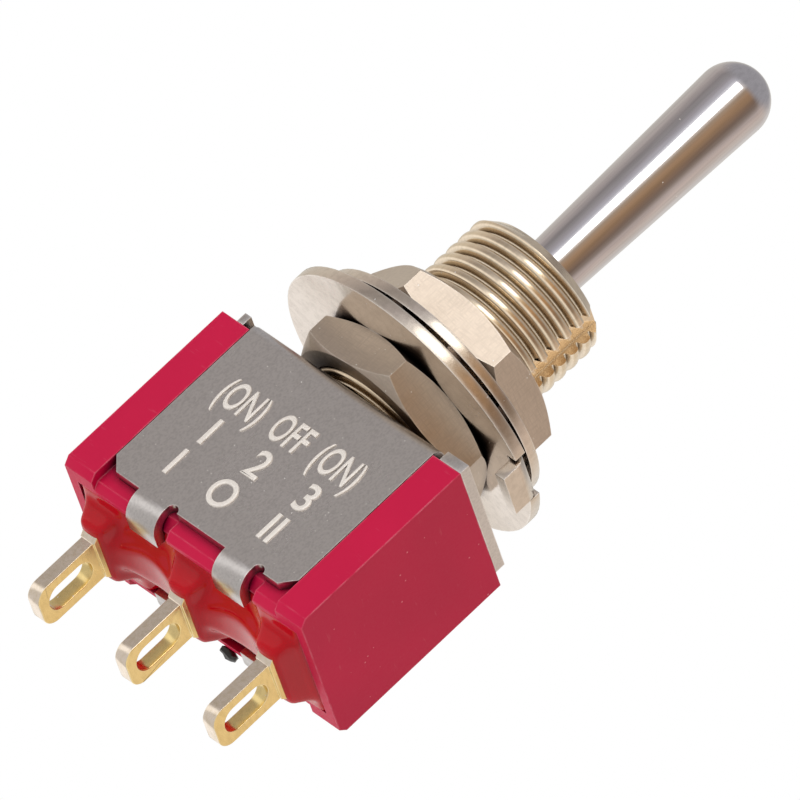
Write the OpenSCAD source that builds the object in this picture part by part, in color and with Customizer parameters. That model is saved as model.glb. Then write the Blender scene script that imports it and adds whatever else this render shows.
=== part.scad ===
// Sub-miniature panel toggle switch: changeover contacts, sprung back to the middle.
// Z = 0 is the frame's top face, on the bushing's axis, and Z points along the lever.
// X runs along the row of terminals. The front flap faces -Y. Sizes are in millimetres.

/* [Case] */
// Length of the case along its row of terminals
case_l = 12.7; // [12.5:0.1:13.6]
// Width of the case from front to back
case_w = 6.86; // [6.7:0.02:7.6]
// Height of the case below the frame
case_h = 8.4; // [8.2:0.1:9.6]
// Thickness of the two end walls
end_wall = 1.0; // [0.8:0.05:1.1]
// Thickness of the long walls behind the flaps
side_wall = 0.7; // [0.5:0.05:0.8]
// Thickness of the floor that holds the terminals
floor_t = 1.4; // [1.2:0.05:1.5]
// Width of the upright rim beside each flap
rim_w = 1.45; // [1.3:0.05:1.6]
// Bevel along the case's lower edges
case_bevel = 0.3; // [0.1:0.05:0.4]
// Depth of the pocket for the seal under the floor
seal_pocket = 0.8; // [0.7:0.05:0.95]
// Thickness of the wall round the seal's pocket
pocket_wall = 0.5; // [0.4:0.05:0.6]

/* [Frame] */
// Thickness of the frame's sheet
frame_t = 0.45; // [0.4:0.01:0.5]
// Outer radius of the bend from the top plate into each flap
bend_r = 0.52; // [0.51:0.01:0.8]
// Gap between a flap's lower edge and the bottom of the case
flap_gap = 0.82; // [0.75:0.01:0.95]
// Corner cut at the lower corners of each flap
flap_corner = 0.6; // [0.2:0.05:0.8]
// Radius of the round relief beside each tab
relief_r = 0.25; // [0.15:0.01:0.3]
// Gap beside a flap in its recess
flap_clear = 0.03; // [0.02:0.01:0.1]
// Distance that the top plate stops short of the case's left end
plate_cut = 0.78; // [0.3:0.02:1.0]
// Distance that the plate's right ear stops short of the back
ear_cut = 0.8; // [0.3:0.05:1.2]
// Width of the relief slits beside each flap's bend
slit_w = 0.35; // [0.2:0.05:0.45]
// Width of each tab folded under the case
tab_w = 1.5; // [1.2:0.05:1.7]
// Distance between the two tabs of a flap
tab_pitch = 4.6; // [4.3:0.05:4.8]
// Outer radius of each tab's bend
tab_bend_r = 0.9; // [0.8:0.05:1.0]
// Reach of each tab from the flap's face in under the case
tab_reach = 1.45; // [1.2:0.05:1.6]
// Height by which the folded tabs stand below the case
tab_proud = 0.15; // [0.05:0.01:0.2]
// Free room beside each tab in its notch
tab_room = 0.5; // [0.3:0.05:0.6]

/* [Seal and terminals] */
// Height to which the seal climbs the terminals, below the case
seal_ridge = 0.8; // [0.6:0.05:0.9]
// Depth of the hollow that the seal sinks to between two terminals
seal_valley = 0.5; // [0.3:0.05:0.6]
// Thickness of the seal's skin where it ends on a terminal
seal_skin = 0.1; // [0.08:0.01:0.2]
// Distance from one terminal to the next
terminal_pitch = 4.7; // [4.6:0.01:4.8]
// Thickness of the terminals' sheet
terminal_t = 0.76; // [0.7:0.01:0.8]
// Width of a terminal's stem inside the case and the seal
stem_w = 2.8; // [2.6:0.05:3.0]
// Width of a solder lug
lug_w = 2.0; // [1.8:0.05:2.2]
// Length of a lug below the case
lug_l = 4.1; // [3.9:0.05:5.0]
// Corner radius at a lug's end
lug_corner = 0.6; // [0.3:0.05:0.8]
// Thickness of a lug, pressed thinner than the terminal's stem
lug_t = 0.6; // [0.56:0.01:0.7]
// Width of a lug's wire slot
slot_w = 1.16; // [1.0:0.02:1.2]
// Length of a lug's wire slot
slot_l = 2.2; // [1.6:0.05:2.3]
// Metal left between the slot and the lug's end
slot_end = 0.45; // [0.4:0.05:0.8]

/* [Bushing] */
// Outside diameter of the bushing's thread
thread_d = 6.35; // [6.3:0.01:6.4]
// Depth of the thread's profile
thread_depth = 0.39; // [0.36:0.01:0.42]
// Pitch of the thread
thread_pitch = 0.635; // [0.62:0.005:0.64]
// Flat left along the thread's crest
thread_crest = 0.15; // [0.15:0.01:0.17]
// Height of the bushing above the frame
bushing_h = 9.1; // [8.8:0.01:9.8]
// Chamfer at the bushing's outer end
bushing_chamfer = 0.4; // [0.2:0.05:0.5]
// Width of the keyway along the bushing
keyway_w = 1.0; // [0.8:0.05:1.2]
// Depth of the keyway below the thread's crest
keyway_depth = 0.5; // [0.45:0.01:0.55]
// Wall of the spigot that is staked through the frame
spigot_wall = 0.28; // [0.25:0.01:0.3]
// Overhang of the staked rim under the frame
stake_rim = 0.14; // [0.1:0.01:0.16]
// Thickness of the staked rim
stake_t = 0.3; // [0.2:0.05:0.35]

/* [Lever] */
// Height of the lever's tip above the frame
lever_h = 20.7; // [19:0.1:23]
// Diameter of the lever where it leaves the bushing
lever_d = 2.38; // [2.2:0.01:2.5]
// Diameter of the lever at its domed end
lever_end_d = 2.92; // [2.7:0.01:3.1]
// Diameter of the lever's ball
ball_d = 4.2; // [4.1:0.01:4.25]
// Height of the ball's centre above the frame
pivot_h = 5.65; // [5.5:0.01:5.75]
// Diameter of the hollow tail below the ball
tail_d = 1.7; // [1.66:0.01:1.72]
// Distance from the frame's top down to the tail's end
tail_end = 2.4; // [2.2:0.05:2.5]
// Diameter of the spring bore in the tail
tail_bore = 1.1; // [1.06:0.01:1.14]
// Depth of the spring bore
tail_bore_l = 4.0; // [3.6:0.1:4.2]
// Diameter of the cross pin through the ball
pin_d = 0.8; // [0.7:0.01:0.85]
// Length of the cross pin
pin_l = 5.0; // [4.8:0.05:5.1]
// Tilt of the lever each way, in degrees
lever_throw = 12; // [10:0.5:12]

/* [Contact set] */
// Diameter of the plunger's rounded tip
tip_d = 1.2; // [1:0.05:1.3]
// Travel of the plunger up into the tail
plunger_travel = 0.5; // [0.3:0.05:0.6]
// Length of the plunger's stem inside the tail at rest
stem_l = 1.5; // [1.3:0.05:1.7]
// Wire diameter of the plunger's spring
spring_wire = 0.14; // [0.1:0.01:0.16]
// Turns of the plunger's spring
spring_turns = 6; // [4:1:8]
// Thickness of the rocker's strip
rocker_t = 0.45; // [0.4:0.01:0.5]
// Width of the rocker's strip
rocker_w = 3.6; // [3.2:0.05:3.8]
// Room between the rocker's end and the case's end wall
rocker_end_room = 0.35; // [0.25:0.01:0.5]
// Rise of the rocker's flat ends above the bottom of its trough
rocker_rise = 0.58; // [0.55:0.01:0.64]
// Tilt of the rocker each way, in degrees
rocker_throw = 6; // [5:0.5:6]
// Distance from a contact's middle out to the rocker's end
contact_inset = 0.7; // [0.65:0.01:0.8]
// Distance from an outer terminal's middle in to its contact
contact_back = 0.4; // [0.36:0.01:0.6]
// Diameter of a contact's head
contact_d = 1.2; // [1:0.05:1.25]
// Height of a contact's domed head
contact_h = 0.35; // [0.3:0.01:0.4]
// Diameter of a contact's rivet shank
shank_d = 0.6; // [0.4:0.05:0.7]

/* [Hardware] */
// Width of the nuts across their flats
nut_af = 7.94; // [7.8:0.01:8.2]
// Thickness of the nuts
nut_t = 1.65; // [1.4:0.05:1.9]
// Gap between the frame and the back nut
nut_gap = 0.4; // [0.2:0.05:0.6]
// Turn of the back nut about the bushing, in degrees
back_nut_turn = -9.5; // [-30:0.5:30]
// Turn of the front nut about the bushing, in degrees
front_nut_turn = 20.4; // [-30:0.1:30]
// Diameter of the locating washer
locating_d = 12.4; // [12:0.05:12.8]
// Thickness of the locating washer
locating_t = 0.5; // [0.4:0.01:0.55]
// Width of the locating washer's tab
tongue_w = 2.1; // [1.8:0.05:2.4]
// Width of the slit on each side of that tab
tongue_slit = 0.18; // [0.1:0.01:0.4]
// Outer radius of that tab's bend
tongue_bend_r = 0.6; // [0.56:0.01:0.8]
// Drop of that tab below the washer's underside
tongue_drop = 0.8; // [0.6:0.05:1.4]
// Outside diameter of the lock washer
lock_d = 10.7; // [10.4:0.05:11.2]
// Width of the lock washer's plain rim
lock_rim = 0.95; // [0.8:0.05:1.1]
// Thickness of the lock washer
lock_t = 0.42; // [0.36:0.01:0.46]
// How far the lock washer's rim sits above the middle of its teeth
lock_lift = 0.15; // [0:0.01:0.25]
// Number of teeth inside the lock washer
lock_teeth = 10; // [8:1:11]
// Width of each tooth
tooth_w = 1.15; // [1.0:0.05:1.25]
// Twist of each tooth, in degrees
tooth_twist = 35; // [25:1:40]

/* [Hidden] */
$fn = 64;
through = 20;      // longer than anything that a cut goes through
over = 1;          // what a cut runs past the surface that it opens
running_gap = 0.03; // radial room of a piece that moves in another
seat_gap = 0.02;   // room round a piece that is set in another
moving_gap = 0.05; // room kept between pieces that meet as the lever moves
diagonal = 1 / cos(45); // side of a square that cuts a corner back by one
lap = 0.1;         // what two shapes or cuts share where they meet

// Levels and faces of the case
front_y = case_w / 2;
end_x = case_l / 2;
case_bottom = -frame_t - case_h;
floor_under = case_bottom + seal_pocket;
floor_top = floor_under + floor_t;
recess_y = front_y - frame_t;
flap_w = case_l - 2 * rim_w;
cavity_y = recess_y - side_wall;
cavity_x = end_x - end_wall;
pocket_x = end_x - pocket_wall;
pocket_y = recess_y - pocket_wall;
flap_bottom = case_bottom + flap_gap;
tab_under = case_bottom - tab_proud;
tab_top = tab_under + frame_t;

// Thread: 60 degree flanks from a narrow root up to the groove's mouth
thread_r = thread_d / 2;
pitch_r = thread_r - thread_depth / 2;
root_r = thread_r - thread_depth;
flank = tan(30);
mouth_half = (thread_pitch - thread_crest) / 2;
root_half = mouth_half - thread_depth * flank;

// The lever's pivot and the bore that guides it
ball_r = ball_d / 2;
tail_r = tail_d / 2;
lever_r = lever_d / 2;
lever_end_r = lever_end_d / 2;
lever_taper = (lever_end_r - lever_r) / (lever_h - lever_end_r - bushing_h);
neck_r = lever_r - lever_taper * (bushing_h - pivot_h);
spigot_end = frame_t + stake_t;
bore_r = (pivot_h + spigot_end) * tan(lever_throw) + tail_r / cos(lever_throw) + moving_gap;
guide_r = ball_r + running_gap;
throat_r = 0.79 * ball_r;
throat_h = sqrt(guide_r * guide_r - throat_r * throat_r);
mouth_room = 0.14;  // room of the tilted lever in the bushing's mouth
mouth_r = (bushing_h - pivot_h) * tan(lever_throw) + lever_r / cos(lever_throw) + mouth_room;
spigot_r = bore_r + spigot_wall;
stake_r = spigot_r + stake_rim;
stake_room = 0.12;  // room under the staked rim in the case's roof
pin_r = pin_d / 2;

// Terminals and fixed contacts
contact_x = min(terminal_pitch - contact_back, cavity_x - rocker_end_room - contact_inset);
rocker_reach = contact_x + contact_inset;
lug_end = case_bottom - lug_l;
shoulder_top = case_bottom - seal_ridge + lap;
pad_top = floor_top + terminal_t;
seal_sink = 0.25;   // how far inside the case's lower face the resin meets the pocket's wall
ridge_half = 0.5;   // half the width of the ridge's flat
pad_rim = 0.1;     // pad left past the contact's head
pad_l = terminal_pitch + terminal_t / 2 - contact_x + contact_d / 2 + pad_rim;
pad_bend_r = 0.4;

// Rocker: the fulcrum is the rounded top edge of the centre terminal
contact_gap = contact_x * sin(rocker_throw) + moving_gap;
rocker_end_under = pad_top + 2 * contact_h + contact_gap;
trough_z = rocker_end_under + rocker_t - rocker_rise;
fulcrum_r = terminal_t / 2;
hub_skin = 0.35;
fulcrum_z = trough_z - hub_skin - fulcrum_r - running_gap;

// Path of the plunger's tip, seen from the rocker: an arc that the trough follows
tip_r = tip_d / 2;
tip_z = trough_z + moving_gap;
tip_arm = pivot_h - tip_z - tip_r;
tip_over_fulcrum = tip_z + tip_r - fulcrum_z;
ratio = rocker_throw / lever_throw;
path_lead = tip_arm - ratio * tip_over_fulcrum;
path_rise = tip_arm * (1 + 2 * ratio) - tip_over_fulcrum * ratio * ratio;
trough_r = path_lead * path_lead / path_rise + tip_r + moving_gap;
trough_half = sqrt(2 * trough_r * rocker_rise - rocker_rise * rocker_rise);

// Plunger and spring in the lever's tail
collar_top = -tail_end - plunger_travel - moving_gap;
stem_top = -tail_end + stem_l;
bore_top = -tail_end + tail_bore_l;
stem_r = tail_bore / 2 - running_gap;

// Hardware, stacked from the frame outwards
back_nut_z = nut_gap;
tooth_room = 0.12;  // radial room of the lock washer's teeth on the thread
locating_z = back_nut_z + nut_t;
lock_h = tooth_w * sin(tooth_twist) + lock_t * cos(tooth_twist);
lock_z = locating_z + locating_t;
front_nut_z = lock_z + lock_h + seat_gap;
thread_end = bushing_h - bushing_chamfer;
bare_thread = [[0, back_nut_z], [locating_z, front_nut_z], [front_nut_z + nut_t, thread_end]];
washer_room = 0.1;  // radial room of the locating washer on the thread
washer_bore_r = thread_r + washer_room;
locating_r = locating_d / 2;

// ---------- shared shapes ----------

// Turns a flat shape drawn as (Y, Z) into a bar of length l along X, centred on x
module bar_x(l, x = 0) {
    translate([x - l / 2, 0, 0]) rotate([90, 0, 90]) linear_extrude(l) children();
}

// Turns a flat shape drawn as (X, Z) into a bar of length l along Y, centred
module bar_y(l) {
    translate([0, l / 2, 0]) rotate([90, 0, 0]) linear_extrude(l) children();
}

// The same piece at the front and at the back
module front_and_back() {
    children();
    mirror([0, 1, 0]) children();
}

// A rectangle between two corners
module span(low, high) {
    translate(low) square([high[0] - low[0], high[1] - low[1]]);
}

// A box between two corners
module box(low, high) {
    translate(low) cube(high - low);
}

// ---------- case ----------

// Section of the case: a rectangle with its two lower edges bevelled
module case_section() {
    polygon([
        [-front_y, -frame_t], [-front_y, case_bottom + case_bevel],
        [-front_y + case_bevel, case_bottom], [front_y - case_bevel, case_bottom],
        [front_y, case_bottom + case_bevel], [front_y, -frame_t]
    ]);
}

// Section of the recess that takes a flap, eased under the bend, with the lower edge's bevel
module recess_section() {
    ease = bend_r - frame_t;
    polygon([
        [-front_y - over, over], [-recess_y + ease, over], [-recess_y + ease, -frame_t],
        [-recess_y, -bend_r], [-recess_y, case_bottom + case_bevel],
        [-recess_y + case_bevel, case_bottom], [-recess_y + case_bevel, case_bottom - over],
        [-front_y - over, case_bottom - over]
    ]);
}

// Notch through the lower edge for a folded tab, with its inner edge eased under the bend
module tab_notch(x) {
    ease = tab_bend_r - frame_t + seat_gap;
    notch_w = tab_w + seat_gap + tab_room;
    bar_x(notch_w, x - tab_w / 2 - seat_gap + notch_w / 2) polygon([
        [-front_y - over, case_bottom - over], [-front_y - over, tab_top + ease],
        [-recess_y, tab_top + ease], [-recess_y + ease, tab_top + seat_gap],
        [-pocket_y + over / 2, tab_top + seat_gap], [-pocket_y + over / 2, case_bottom - over]
    ]);
}

module terminal_hole(x) {
    half_t = terminal_t / 2 + seat_gap;
    half_w = stem_w / 2 + seat_gap;
    box([x - half_t, -half_w, floor_under - over], [x + half_t, half_w, floor_top + over]);
}

module case() {
    color("crimson")
    difference() {
        bar_x(case_l) case_section();
        box([-cavity_x, -cavity_y, floor_top], [cavity_x, cavity_y, over]);
        translate([0, 0, -spigot_end - stake_room]) cylinder(r = stake_r + seat_gap, h = through);
        box([-pocket_x, -pocket_y, case_bottom - over], [pocket_x, pocket_y, floor_under]);
        front_and_back() {
            bar_x(flap_w) recess_section();
            for (side = [-1, 1]) tab_notch(side * tab_pitch / 2);
        }
        for (i = [-1 : 1]) terminal_hole(i * terminal_pitch);
    }
}

// ---------- frame: one folded sheet ----------

// Section of a flap from the top plate's bend down to its lower edge
module flap_section() {
    difference() {
        union() {
            span([-front_y, flap_bottom], [-recess_y, -bend_r]);
            translate([-front_y + bend_r, -bend_r]) circle(bend_r);
        }
        translate([-front_y + bend_r, -bend_r]) circle(bend_r - frame_t);
        span([-recess_y, flap_bottom - over], [0, -bend_r]);
        span([-front_y + bend_r, -2 * bend_r], [0, over]);
    }
}

// Section of a tab: round the case's lower edge and in under it
module tab_section() {
    centre = [-front_y + tab_bend_r, tab_under + tab_bend_r];
    difference() {
        translate(centre) circle(tab_bend_r);
        translate(centre) circle(tab_bend_r - frame_t);
        span([-recess_y, centre[1]], [0, through]);
        span([centre[0], tab_under - over], [0, through]);
    }
    span([-front_y, centre[1]], [-recess_y, flap_bottom + over / 2]);
    span([centre[0], tab_under], [-front_y + tab_reach, tab_top]);
}

// Cuts that shape a flap's lower edge: two corners and a round relief beside each tab
module flap_trim() {
    for (side = [-1, 1]) {
        translate([side * flap_w / 2, 0, flap_bottom]) rotate([0, 45, 0])
            cube([flap_corner * diagonal, through, flap_corner * diagonal], center = true);
        translate([side * tab_pitch / 2 + tab_w / 2 + relief_r, 0, flap_bottom])
            rotate([90, 0, 0]) cylinder(r = relief_r, h = through);
    }
}

module frame() {
    slit_y = front_y - bend_r;
    color("lightgray") {
        difference() {
            union() {
                difference() {
                    box([-end_x + plate_cut, -front_y, -frame_t], [end_x, front_y, 0]);
                    front_and_back() box([-flap_w / 2 - slit_w, -through, -through],
                        [flap_w / 2 + slit_w, -slit_y, through]);
                    box([flap_w / 2, front_y - ear_cut, -through], [through, through, through]);
                }
                front_and_back() bar_x(flap_w - 2 * flap_clear) flap_section();
            }
            translate([0, 0, -through / 2]) cylinder(r = spigot_r + seat_gap, h = through);
            front_and_back() flap_trim();
        }
        front_and_back() for (side = [-1, 1]) bar_x(tab_w, side * tab_pitch / 2) tab_section();
    }
}

// ---------- seal: resin poured round the terminals ----------

// The resin climbs the terminals, so its face is hollow between them, beside them and at the ends
module terminal_seal() {
    ridge_z = case_bottom - seal_ridge;
    rim_z = case_bottom + seal_sink;
    drop = rim_z - ridge_z;
    flank_run = pocket_y - ridge_half;
    flank_r = (flank_run * flank_run + drop * drop) / (2 * drop);
    ridge_x = terminal_pitch + terminal_t / 2 + seal_skin;
    end_run = pocket_x - ridge_x;
    end_r = (end_run * end_run + drop * drop) / (2 * end_run);
    valley_half = terminal_pitch / 2 - terminal_t / 2 - seal_skin;
    valley_r = (valley_half * valley_half + seal_valley * seal_valley) / (2 * seal_valley);
    color("darkred")
    difference() {
        box([-pocket_x, -pocket_y, ridge_z], [pocket_x, pocket_y, floor_under]);
        front_and_back() translate([-through, -pocket_y, rim_z - flank_r]) rotate([0, 90, 0])
            cylinder(r = flank_r, h = 2 * through);
        for (side = [-1, 1]) {
            translate([side * (ridge_x + end_r), -through, ridge_z])
                rotate([-90, 0, 0]) cylinder(r = end_r, h = 2 * through);
            translate([side * terminal_pitch / 2, -through, ridge_z + seal_valley - valley_r])
                rotate([-90, 0, 0]) cylinder(r = valley_r, h = 2 * through);
        }
        for (i = [-1 : 1]) box(
            [i * terminal_pitch - terminal_t / 2 - seat_gap, -stem_w / 2 - seat_gap, ridge_z - over],
            [i * terminal_pitch + terminal_t / 2 + seat_gap, stem_w / 2 + seat_gap, over]);
        front_and_back() for (side = [-1, 1]) box(
            [side * tab_pitch / 2 - tab_w / 2 - seat_gap, -through, ridge_z - over],
            [side * tab_pitch / 2 + tab_w / 2 + seat_gap, -front_y + tab_reach + seat_gap,
                tab_top + seat_gap]);
    }
}

// ---------- terminals ----------

// Outline of a terminal from its stem to the lug's end, drawn as (Y, Z)
module terminal_outline(top) {
    slope = (stem_w - lug_w) / 2;
    slot_r = slot_w / 2;
    half_end = lug_w / 2 - lug_corner;
    difference() {
        union() {
            polygon([
                [-stem_w / 2, top], [-stem_w / 2, shoulder_top],
                [-lug_w / 2, shoulder_top - slope], [lug_w / 2, shoulder_top - slope],
                [stem_w / 2, shoulder_top], [stem_w / 2, top]
            ]);
            span([-lug_w / 2, lug_end + lug_corner], [lug_w / 2, shoulder_top - slope + 0.01]);
            span([-half_end, lug_end], [half_end, lug_end + lug_corner + 0.01]);
            for (side = [-1, 1]) translate([side * half_end, lug_end + lug_corner]) circle(lug_corner);
        }
        for (end = [slot_end + slot_r, slot_end + slot_l - slot_r])
            translate([0, lug_end + end]) circle(slot_r);
        span([-slot_r, lug_end + slot_end + slot_r], [slot_r, lug_end + slot_end + slot_l - slot_r]);
    }
}

// A terminal's blade at x, with its lug pressed thinner below the shoulders
module blade(x, top) {
    pressed_top = shoulder_top - (stem_w - lug_w) / 2;
    difference() {
        bar_x(terminal_t, x) terminal_outline(top);
        for (side = [-1, 1]) translate([x + side * (lug_t + over) / 2, 0, 0])
            box([-over / 2, -stem_w, lug_end - over], [over / 2, stem_w, pressed_top]);
    }
}

// An outer terminal, bent over on the floor towards the middle; side is -1 or 1
module outer_terminal(side) {
    x = side * terminal_pitch;
    outer_x = x + side * terminal_t / 2;
    color("gold")
    difference() {
        union() {
            blade(x, floor_top + lap);
            bar_y(stem_w) difference() {
                span([min(outer_x, outer_x - side * pad_l), floor_top],
                    [max(outer_x, outer_x - side * pad_l), pad_top]);
                translate([outer_x, pad_top]) rotate(45)
                    square(pad_bend_r * diagonal, center = true);
            }
        }
        translate([side * contact_x, 0, floor_top - over / 2])
            cylinder(d = shank_d + 2 * seat_gap, h = 2 * over + terminal_t);
    }
}

module terminal_left() { outer_terminal(-1); }

module terminal_right() { outer_terminal(1); }

// The centre terminal carries the rocker on its rounded top edge
module terminal_centre() {
    color("gold") {
        blade(0, fulcrum_z);
        translate([0, -stem_w / 2, fulcrum_z]) rotate([-90, 0, 0]) cylinder(r = fulcrum_r, h = stem_w);
    }
}

// ---------- contacts: rivets with a domed head ----------

// Head of a contact standing on Z = 0, with its shank below
module contact(shank_l) {
    dome = 0.15;
    contact_r = contact_d / 2;
    dome_r = (contact_r * contact_r + dome * dome) / (2 * dome);
    color("silver") {
        intersection() {
            cylinder(r = contact_r, h = contact_h);
            translate([0, 0, contact_h - dome_r]) sphere(dome_r);
        }
        translate([0, 0, -shank_l]) cylinder(d = shank_d, h = shank_l + contact_h / 4);
    }
}

module fixed_contact(side) {
    translate([side * contact_x, 0, pad_top]) contact(terminal_t);
}

module fixed_contact_left() { fixed_contact(-1); }

module fixed_contact_right() { fixed_contact(1); }

module rocker_contact(side) {
    translate([side * contact_x, 0, rocker_end_under]) mirror([0, 0, 1]) contact(rocker_t);
}

module rocker_contact_left() { rocker_contact(-1); }

module rocker_contact_right() { rocker_contact(1); }

// ---------- rocker: a strip with a curved trough over the fulcrum ----------

module rocker_section() {
    centre = [0, trough_z + trough_r];
    hub_r = fulcrum_r + running_gap + hub_skin;
    end_top = trough_z + rocker_rise;
    difference() {
        union() {
            intersection() {
                translate(centre) circle(trough_r + rocker_t, $fn = 128);
                span([-trough_half - rocker_t, trough_z - rocker_t - over],
                    [trough_half + rocker_t, end_top]);
            }
            for (side = [-1, 1]) span(
                [side > 0 ? trough_half : -rocker_reach, end_top - rocker_t],
                [side > 0 ? rocker_reach : -trough_half, end_top]);
            translate([0, fulcrum_z]) circle(hub_r);
        }
        translate(centre) circle(trough_r, $fn = 128);
        translate([0, fulcrum_z]) circle(fulcrum_r + running_gap);
        span([-through, fulcrum_z - through], [through, fulcrum_z]);
        mouth = fulcrum_r + running_gap + fulcrum_r * tan(rocker_throw);
        polygon([[-mouth, fulcrum_z - over], [mouth, fulcrum_z - over],
            [fulcrum_r + running_gap, fulcrum_z], [-fulcrum_r - running_gap, fulcrum_z]]);
    }
}

module rocker() {
    color("peru")
    difference() {
        bar_y(rocker_w) rocker_section();
        for (side = [-1, 1]) translate([side * contact_x, 0, rocker_end_under - over / 2])
            cylinder(d = shank_d + 2 * seat_gap, h = over + rocker_t);
    }
}

// ---------- bushing ----------

// Outside of the bushing: full thread where it is bare, pitch diameter where a nut grips it
module bushing_body() {
    cylinder(r = pitch_r - seat_gap, h = thread_end);
    for (run = bare_thread) translate([0, 0, run[0]]) cylinder(r = thread_r, h = run[1] - run[0]);
    translate([0, 0, thread_end])
        cylinder(r1 = thread_r, r2 = thread_r - bushing_chamfer, h = bushing_chamfer);
    translate([0, 0, -spigot_end]) cylinder(r = spigot_r, h = spigot_end + over / 2);
    translate([0, 0, -spigot_end]) cylinder(r = stake_r, h = stake_t - seat_gap);
}

// The thread's grooves, as rings a pitch apart along each bare stretch
module thread_grooves() {
    past = 0.2;
    for (run = bare_thread) {
        turns = floor((run[1] - run[0]) / thread_pitch);
        for (i = [0 : 1 : turns - 1]) translate([0, 0, run[0] + (i + 1 / 2) * thread_pitch])
            rotate_extrude() polygon([
                [root_r, -root_half], [thread_r + past, -mouth_half - past * flank],
                [thread_r + past, mouth_half + past * flank], [root_r, root_half]
            ]);
    }
}

// The space inside: tail room, the ball's seat and the flared mouth
module bushing_bore() {
    guide_z = pivot_h - 0.6 * ball_r;
    flare = (mouth_r - throat_r) / (bushing_h - pivot_h - throat_h);
    throat_z = pivot_h + throat_h;
    translate([0, 0, -spigot_end - over]) cylinder(r = bore_r, h = spigot_end + over + guide_z);
    cylinder(r = guide_r, h = pivot_h);
    translate([0, 0, pivot_h]) sphere(guide_r);
    translate([0, 0, throat_z - lap])
        cylinder(r1 = throat_r - lap * flare, r2 = mouth_r + over * flare,
            h = bushing_h - throat_z + lap + over);
}

// Grooves up the inside for the ends of the cross pin, closed by a round seat at the pivot
module pin_grooves() {
    groove_r = pin_r + running_gap;
    groove_y = pin_l / 2 + running_gap;
    box([-groove_r, -groove_y, back_nut_z - spigot_end], [groove_r, groove_y, pivot_h]);
    translate([0, -groove_y, pivot_h]) rotate([-90, 0, 0]) cylinder(r = groove_r, h = 2 * groove_y);
}

module bushing() {
    key_floor = thread_r - keyway_depth;
    color("tan")
    difference() {
        bushing_body();
        thread_grooves();
        bushing_bore();
        intersection() {
            pin_grooves();
            translate([0, 0, back_nut_z]) cylinder(r = pin_l / 2 + running_gap, h = bushing_h);
        }
        box([key_floor, -keyway_w / 2, back_nut_z], [through, keyway_w / 2, bushing_h + over]);
    }
}

// ---------- lever, pin, plunger and spring ----------

module lever() {
    dome_z = lever_h - lever_end_r;
    color("gainsboro")
    difference() {
        union() {
            translate([0, 0, pivot_h]) cylinder(r1 = neck_r, r2 = lever_end_r, h = dome_z - pivot_h);
            translate([0, 0, dome_z]) sphere(lever_end_r);
            translate([0, 0, pivot_h]) sphere(ball_r);
            translate([0, 0, -tail_end]) cylinder(r = tail_r, h = tail_end + pivot_h);
        }
        translate([0, 0, -tail_end - over]) cylinder(r = tail_bore / 2, h = tail_bore_l + over);
        translate([0, -through / 2, pivot_h]) rotate([-90, 0, 0])
            cylinder(r = pin_r + seat_gap / 2, h = through);
    }
}

module pivot_pin() {
    color("dimgray") translate([0, -pin_l / 2, pivot_h]) rotate([-90, 0, 0]) cylinder(r = pin_r, h = pin_l);
}

module plunger() {
    collar_t = 0.4;
    collar_under = collar_top - collar_t;
    color("ivory") {
        translate([0, 0, collar_top - over / 2]) cylinder(r = stem_r, h = stem_top - collar_top + over / 2);
        translate([0, 0, tip_z + tip_r]) cylinder(r1 = tip_r, r2 = tail_r,
            h = collar_under - tip_z - tip_r);
        translate([0, 0, collar_under]) cylinder(r = tail_r, h = collar_t);
        translate([0, 0, tip_z + tip_r]) sphere(tip_r);
    }
}

// A ring of the spring's wire at step i of the coil
function coil_ring(i, steps, sides, coil_r, low, high) =
    let (turn = 360 * spring_turns * i / steps, z = low + (high - low) * i / steps)
    [for (k = [0 : sides - 1])
        let (a = 360 * k / sides, r = coil_r + spring_wire / 2 * cos(a))
        [r * cos(turn), r * sin(turn), z + spring_wire / 2 * sin(a)]];

module plunger_spring() {
    per_turn = 16;
    sides = 6;
    steps = per_turn * spring_turns;
    coil_r = tail_bore / 2 - running_gap - spring_wire / 2;
    low = stem_top + spring_wire / 2 + seat_gap;
    high = bore_top - spring_wire / 2 - seat_gap;
    points = [for (i = [0 : steps]) each coil_ring(i, steps, sides, coil_r, low, high)];
    walls = [for (i = [0 : steps - 1], k = [0 : sides - 1])
        let (a = i * sides + k, b = i * sides + (k + 1) % sides) [a, a + sides, b + sides, b]];
    first = [[for (k = [0 : sides - 1]) k]];
    last = [[for (k = [0 : sides - 1]) steps * sides + sides - 1 - k]];
    color("slategray") polyhedron(points, concat(first, last, walls));
}

// ---------- hardware on the bushing ----------

// A thin hexagon nut with both faces chamfered, standing on Z = 0
module nut() {
    corner_r = nut_af / 2 / cos(30);
    face_r = nut_af / 2;
    slope = tan(32);
    chamfer = (corner_r - face_r) * slope;
    bore = pitch_r;
    lead = 0.25;
    difference() {
        intersection() {
            cylinder(r = corner_r, h = nut_t, $fn = 6);
            rotate_extrude() polygon([
                [0, 0], [face_r, 0], [face_r + 2 * chamfer / slope, 2 * chamfer],
                [face_r + 2 * chamfer / slope, nut_t - 2 * chamfer], [face_r, nut_t], [0, nut_t]
            ]);
        }
        translate([0, 0, -over]) cylinder(r = bore, h = nut_t + 2 * over);
        for (end = [0, 1]) translate([0, 0, end * nut_t]) mirror([0, 0, end])
            translate([0, 0, -over]) cylinder(r1 = bore + lead + over, r2 = bore, h = lead + over);
    }
}

module back_nut() {
    color("tan") translate([0, 0, back_nut_z]) rotate(back_nut_turn) nut();
}

module front_nut() {
    color("tan") translate([0, 0, front_nut_z]) rotate(front_nut_turn) nut();
}

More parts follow.
